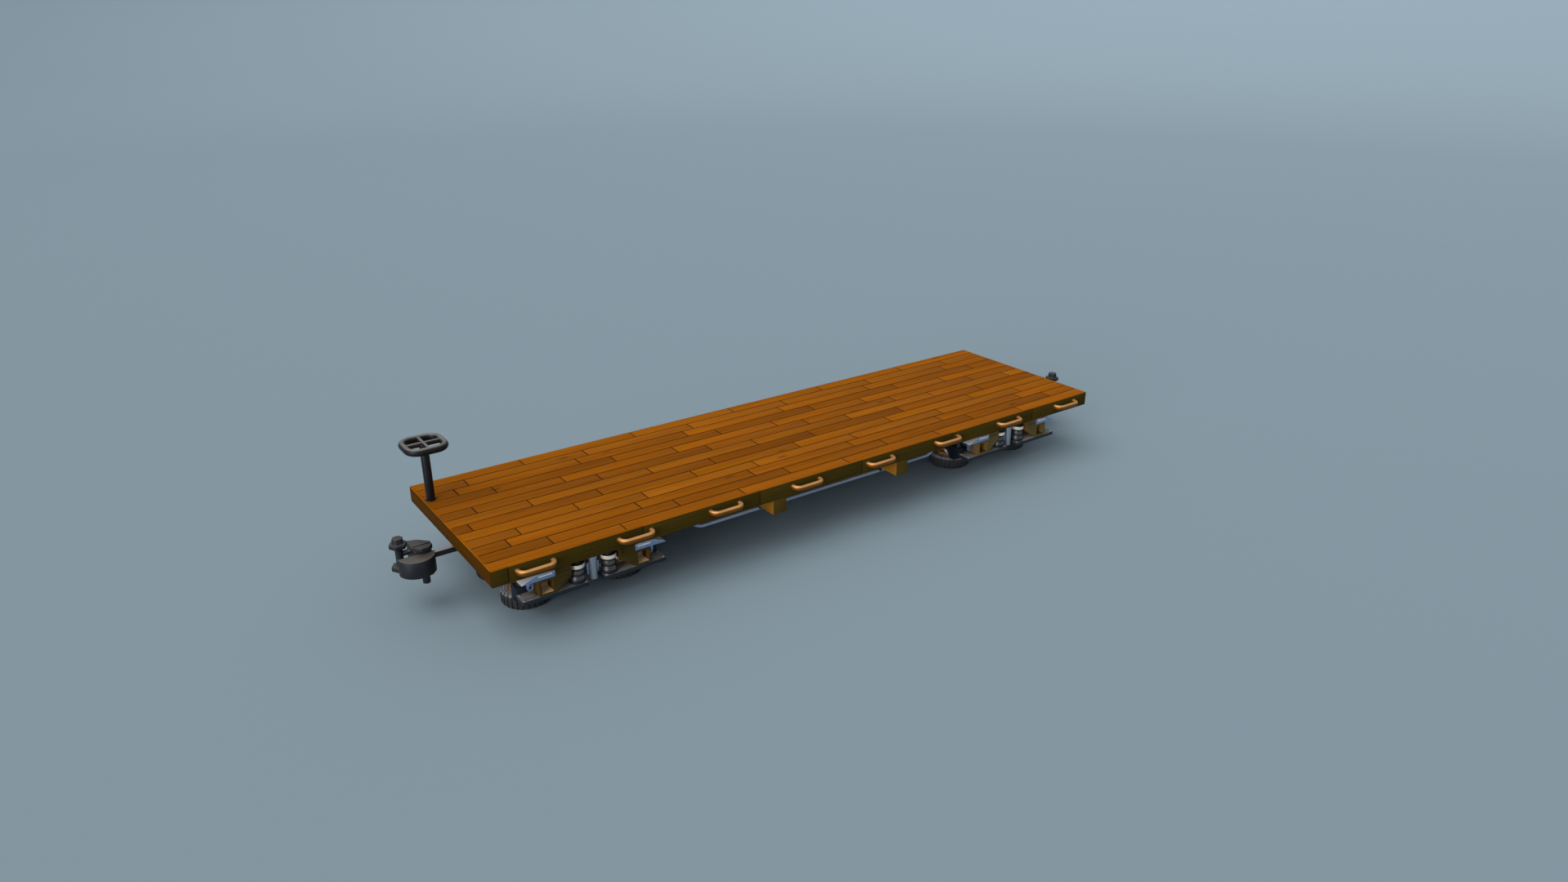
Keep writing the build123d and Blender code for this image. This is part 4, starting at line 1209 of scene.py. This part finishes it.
fittings = []
for i in range(FITTINGS):
    pattern = nut if i % 2 else clamp
    fittings.append(copy_at(pattern, f"fitting_{i}", turn=2 * math.pi * i / FITTINGS))
rim = joined("rim_pattern", [rim, *fittings])
discard(clamp)
discard(nut)
print("rim with fittings:", len(rim.data.polygons), "faces,", len(rim.data.materials), "finishes")

# %% Hang the wheels under the trucks
WHEEL_X = 0.596
WHEEL_Y = 0.388

for end, truck_x in TRUCK_X.items():
    outward = math.copysign(WHEEL_X, truck_x)
    for place, x in (("outer", truck_x + outward), ("inner", truck_x - outward)):
        for side, y in (("left", WHEEL_Y), ("right", -WHEEL_Y)):
            wheel = f"{end}_{place}_{side}"
            lugged = copy_at(tyre, f"lugged_tyre_{wheel}", (x, y, 0.0))
            hand_over(lugged, f"wheel_{wheel}", "tyre_rubber", f"tyre_{wheel}")
            dished = copy_at(rim, f"dished_rim_{wheel}", (x, y, 0.0))
            hand_over(dished, f"wheel_{wheel}", "wheel_metal", f"rim_{wheel}")
discard(tyre)
discard(rim)

# %% [markdown]
# ## Bolts in the foot plates
# A pale bolt head near each corner holds a foot plate up, and in the photograph they are small bright
# points. One round head on a washer is modelled, then copied to all corners of the four plates of a truck.

# %% Model the plate bolts
PLATE_ENDS = (0.100, 0.900)
PLATE_SIDES = (0.870, 1.070)
BOLT_INSET = 0.028
WASHER_RADIUS = 0.015
WASHER_HEIGHT = 0.004
WASHER_AROUND = 18
HEAD_RADIUS = 0.0115
HEAD_HEIGHT = 0.008
HEAD_INSET = 0.003
HEAD_DOME = 0.002
BOLT_SMOOTH = 25.0

bpy.ops.object.select_all(action="DESELECT")
washer_place = (0.0, 0.0, PLATE_TOP + WASHER_HEIGHT / 2)
bpy.ops.mesh.primitive_cylinder_add(
    vertices=WASHER_AROUND, radius=WASHER_RADIUS, depth=WASHER_HEIGHT, location=washer_place
)
bolt = settle(bpy.context.object, "bolt_pattern")
edit(bolt)
pick_faces(bolt, looks_up)
bpy.ops.mesh.inset(thickness=WASHER_RADIUS - HEAD_RADIUS)
bpy.ops.mesh.extrude_region_move(TRANSFORM_OT_translate={"value": (0.0, 0.0, HEAD_HEIGHT)})
bpy.ops.mesh.inset(thickness=HEAD_INSET)
bpy.ops.transform.translate(value=(0.0, 0.0, HEAD_DOME))
leave()
paint(bolt, [BRIGHT_EDGE])
smooth(bolt, BOLT_SMOOTH)

for end, truck_x in TRUCK_X.items():
    bolts = []
    for along, across in CORNERS:
        for x in (PLATE_ENDS[0] + BOLT_INSET, PLATE_ENDS[1] - BOLT_INSET):
            for y in (PLATE_SIDES[0] + BOLT_INSET, PLATE_SIDES[1] - BOLT_INSET):
                place = (truck_x + along * x, across * y, 0.0)
                bolts.append(copy_at(bolt, f"bolt_{end}_{len(bolts)}", place))
    hand_over(joined(f"plate_bolts_{end}", bolts), f"truck_{end}", "bright_steel")
    print("plate bolts of truck", end, ":", len(bolts))
discard(bolt)

# %% [markdown]
# ## Painted highlight strips on the wedges
# On the outer face of every wedge a slim white strip runs along under the top edge: a painted highlight,
# put where the wedge face shows a glint. It starts as a stretched cube whose outer face is inset and pulled
# out a little, so its sloping sides catch the light.

# %% Model the wedge strips
STRIP_SIZE = (0.164, 0.006, 0.016)
STRIP_X = 0.616
STRIP_Z = 0.618
STRIP_INSET = 0.004
STRIP_RISE = 0.002
STRIP_ROUND = 0.0008
WEDGE_FACE_Y = 1.070
OUTWARD = 0.9

bpy.ops.object.select_all(action="DESELECT")
bpy.ops.mesh.primitive_cube_add(size=1.0, location=(0.0, WEDGE_FACE_Y, STRIP_Z))
strip = bpy.context.object
strip.scale = STRIP_SIZE
settle(strip, "highlight_strip_pattern")
edit(strip)
pick_faces(strip, lambda centre, normal: normal.y > OUTWARD)
bpy.ops.mesh.inset(thickness=STRIP_INSET)
bpy.ops.transform.translate(value=(0.0, STRIP_RISE, 0.0))
leave()
# the strip's white is a painted highlight
paint(strip, [WEDGE_PAINTED_HIGHLIGHT])
round_edges(strip, STRIP_ROUND)

for end, truck_x in TRUCK_X.items():
    strips = []
    for along in (1, -1):
        for turn in (0.0, math.pi):
            place = (truck_x + along * STRIP_X, 0.0, 0.0)
            strips.append(copy_at(strip, f"strip_{end}_{len(strips)}", place, turn))
    hand_over(joined(f"wedge_highlight_strips_{end}", strips), f"truck_{end}", "bright_steel")
    print("wedge strips of truck", end, ":", len(strips))
discard(strip)
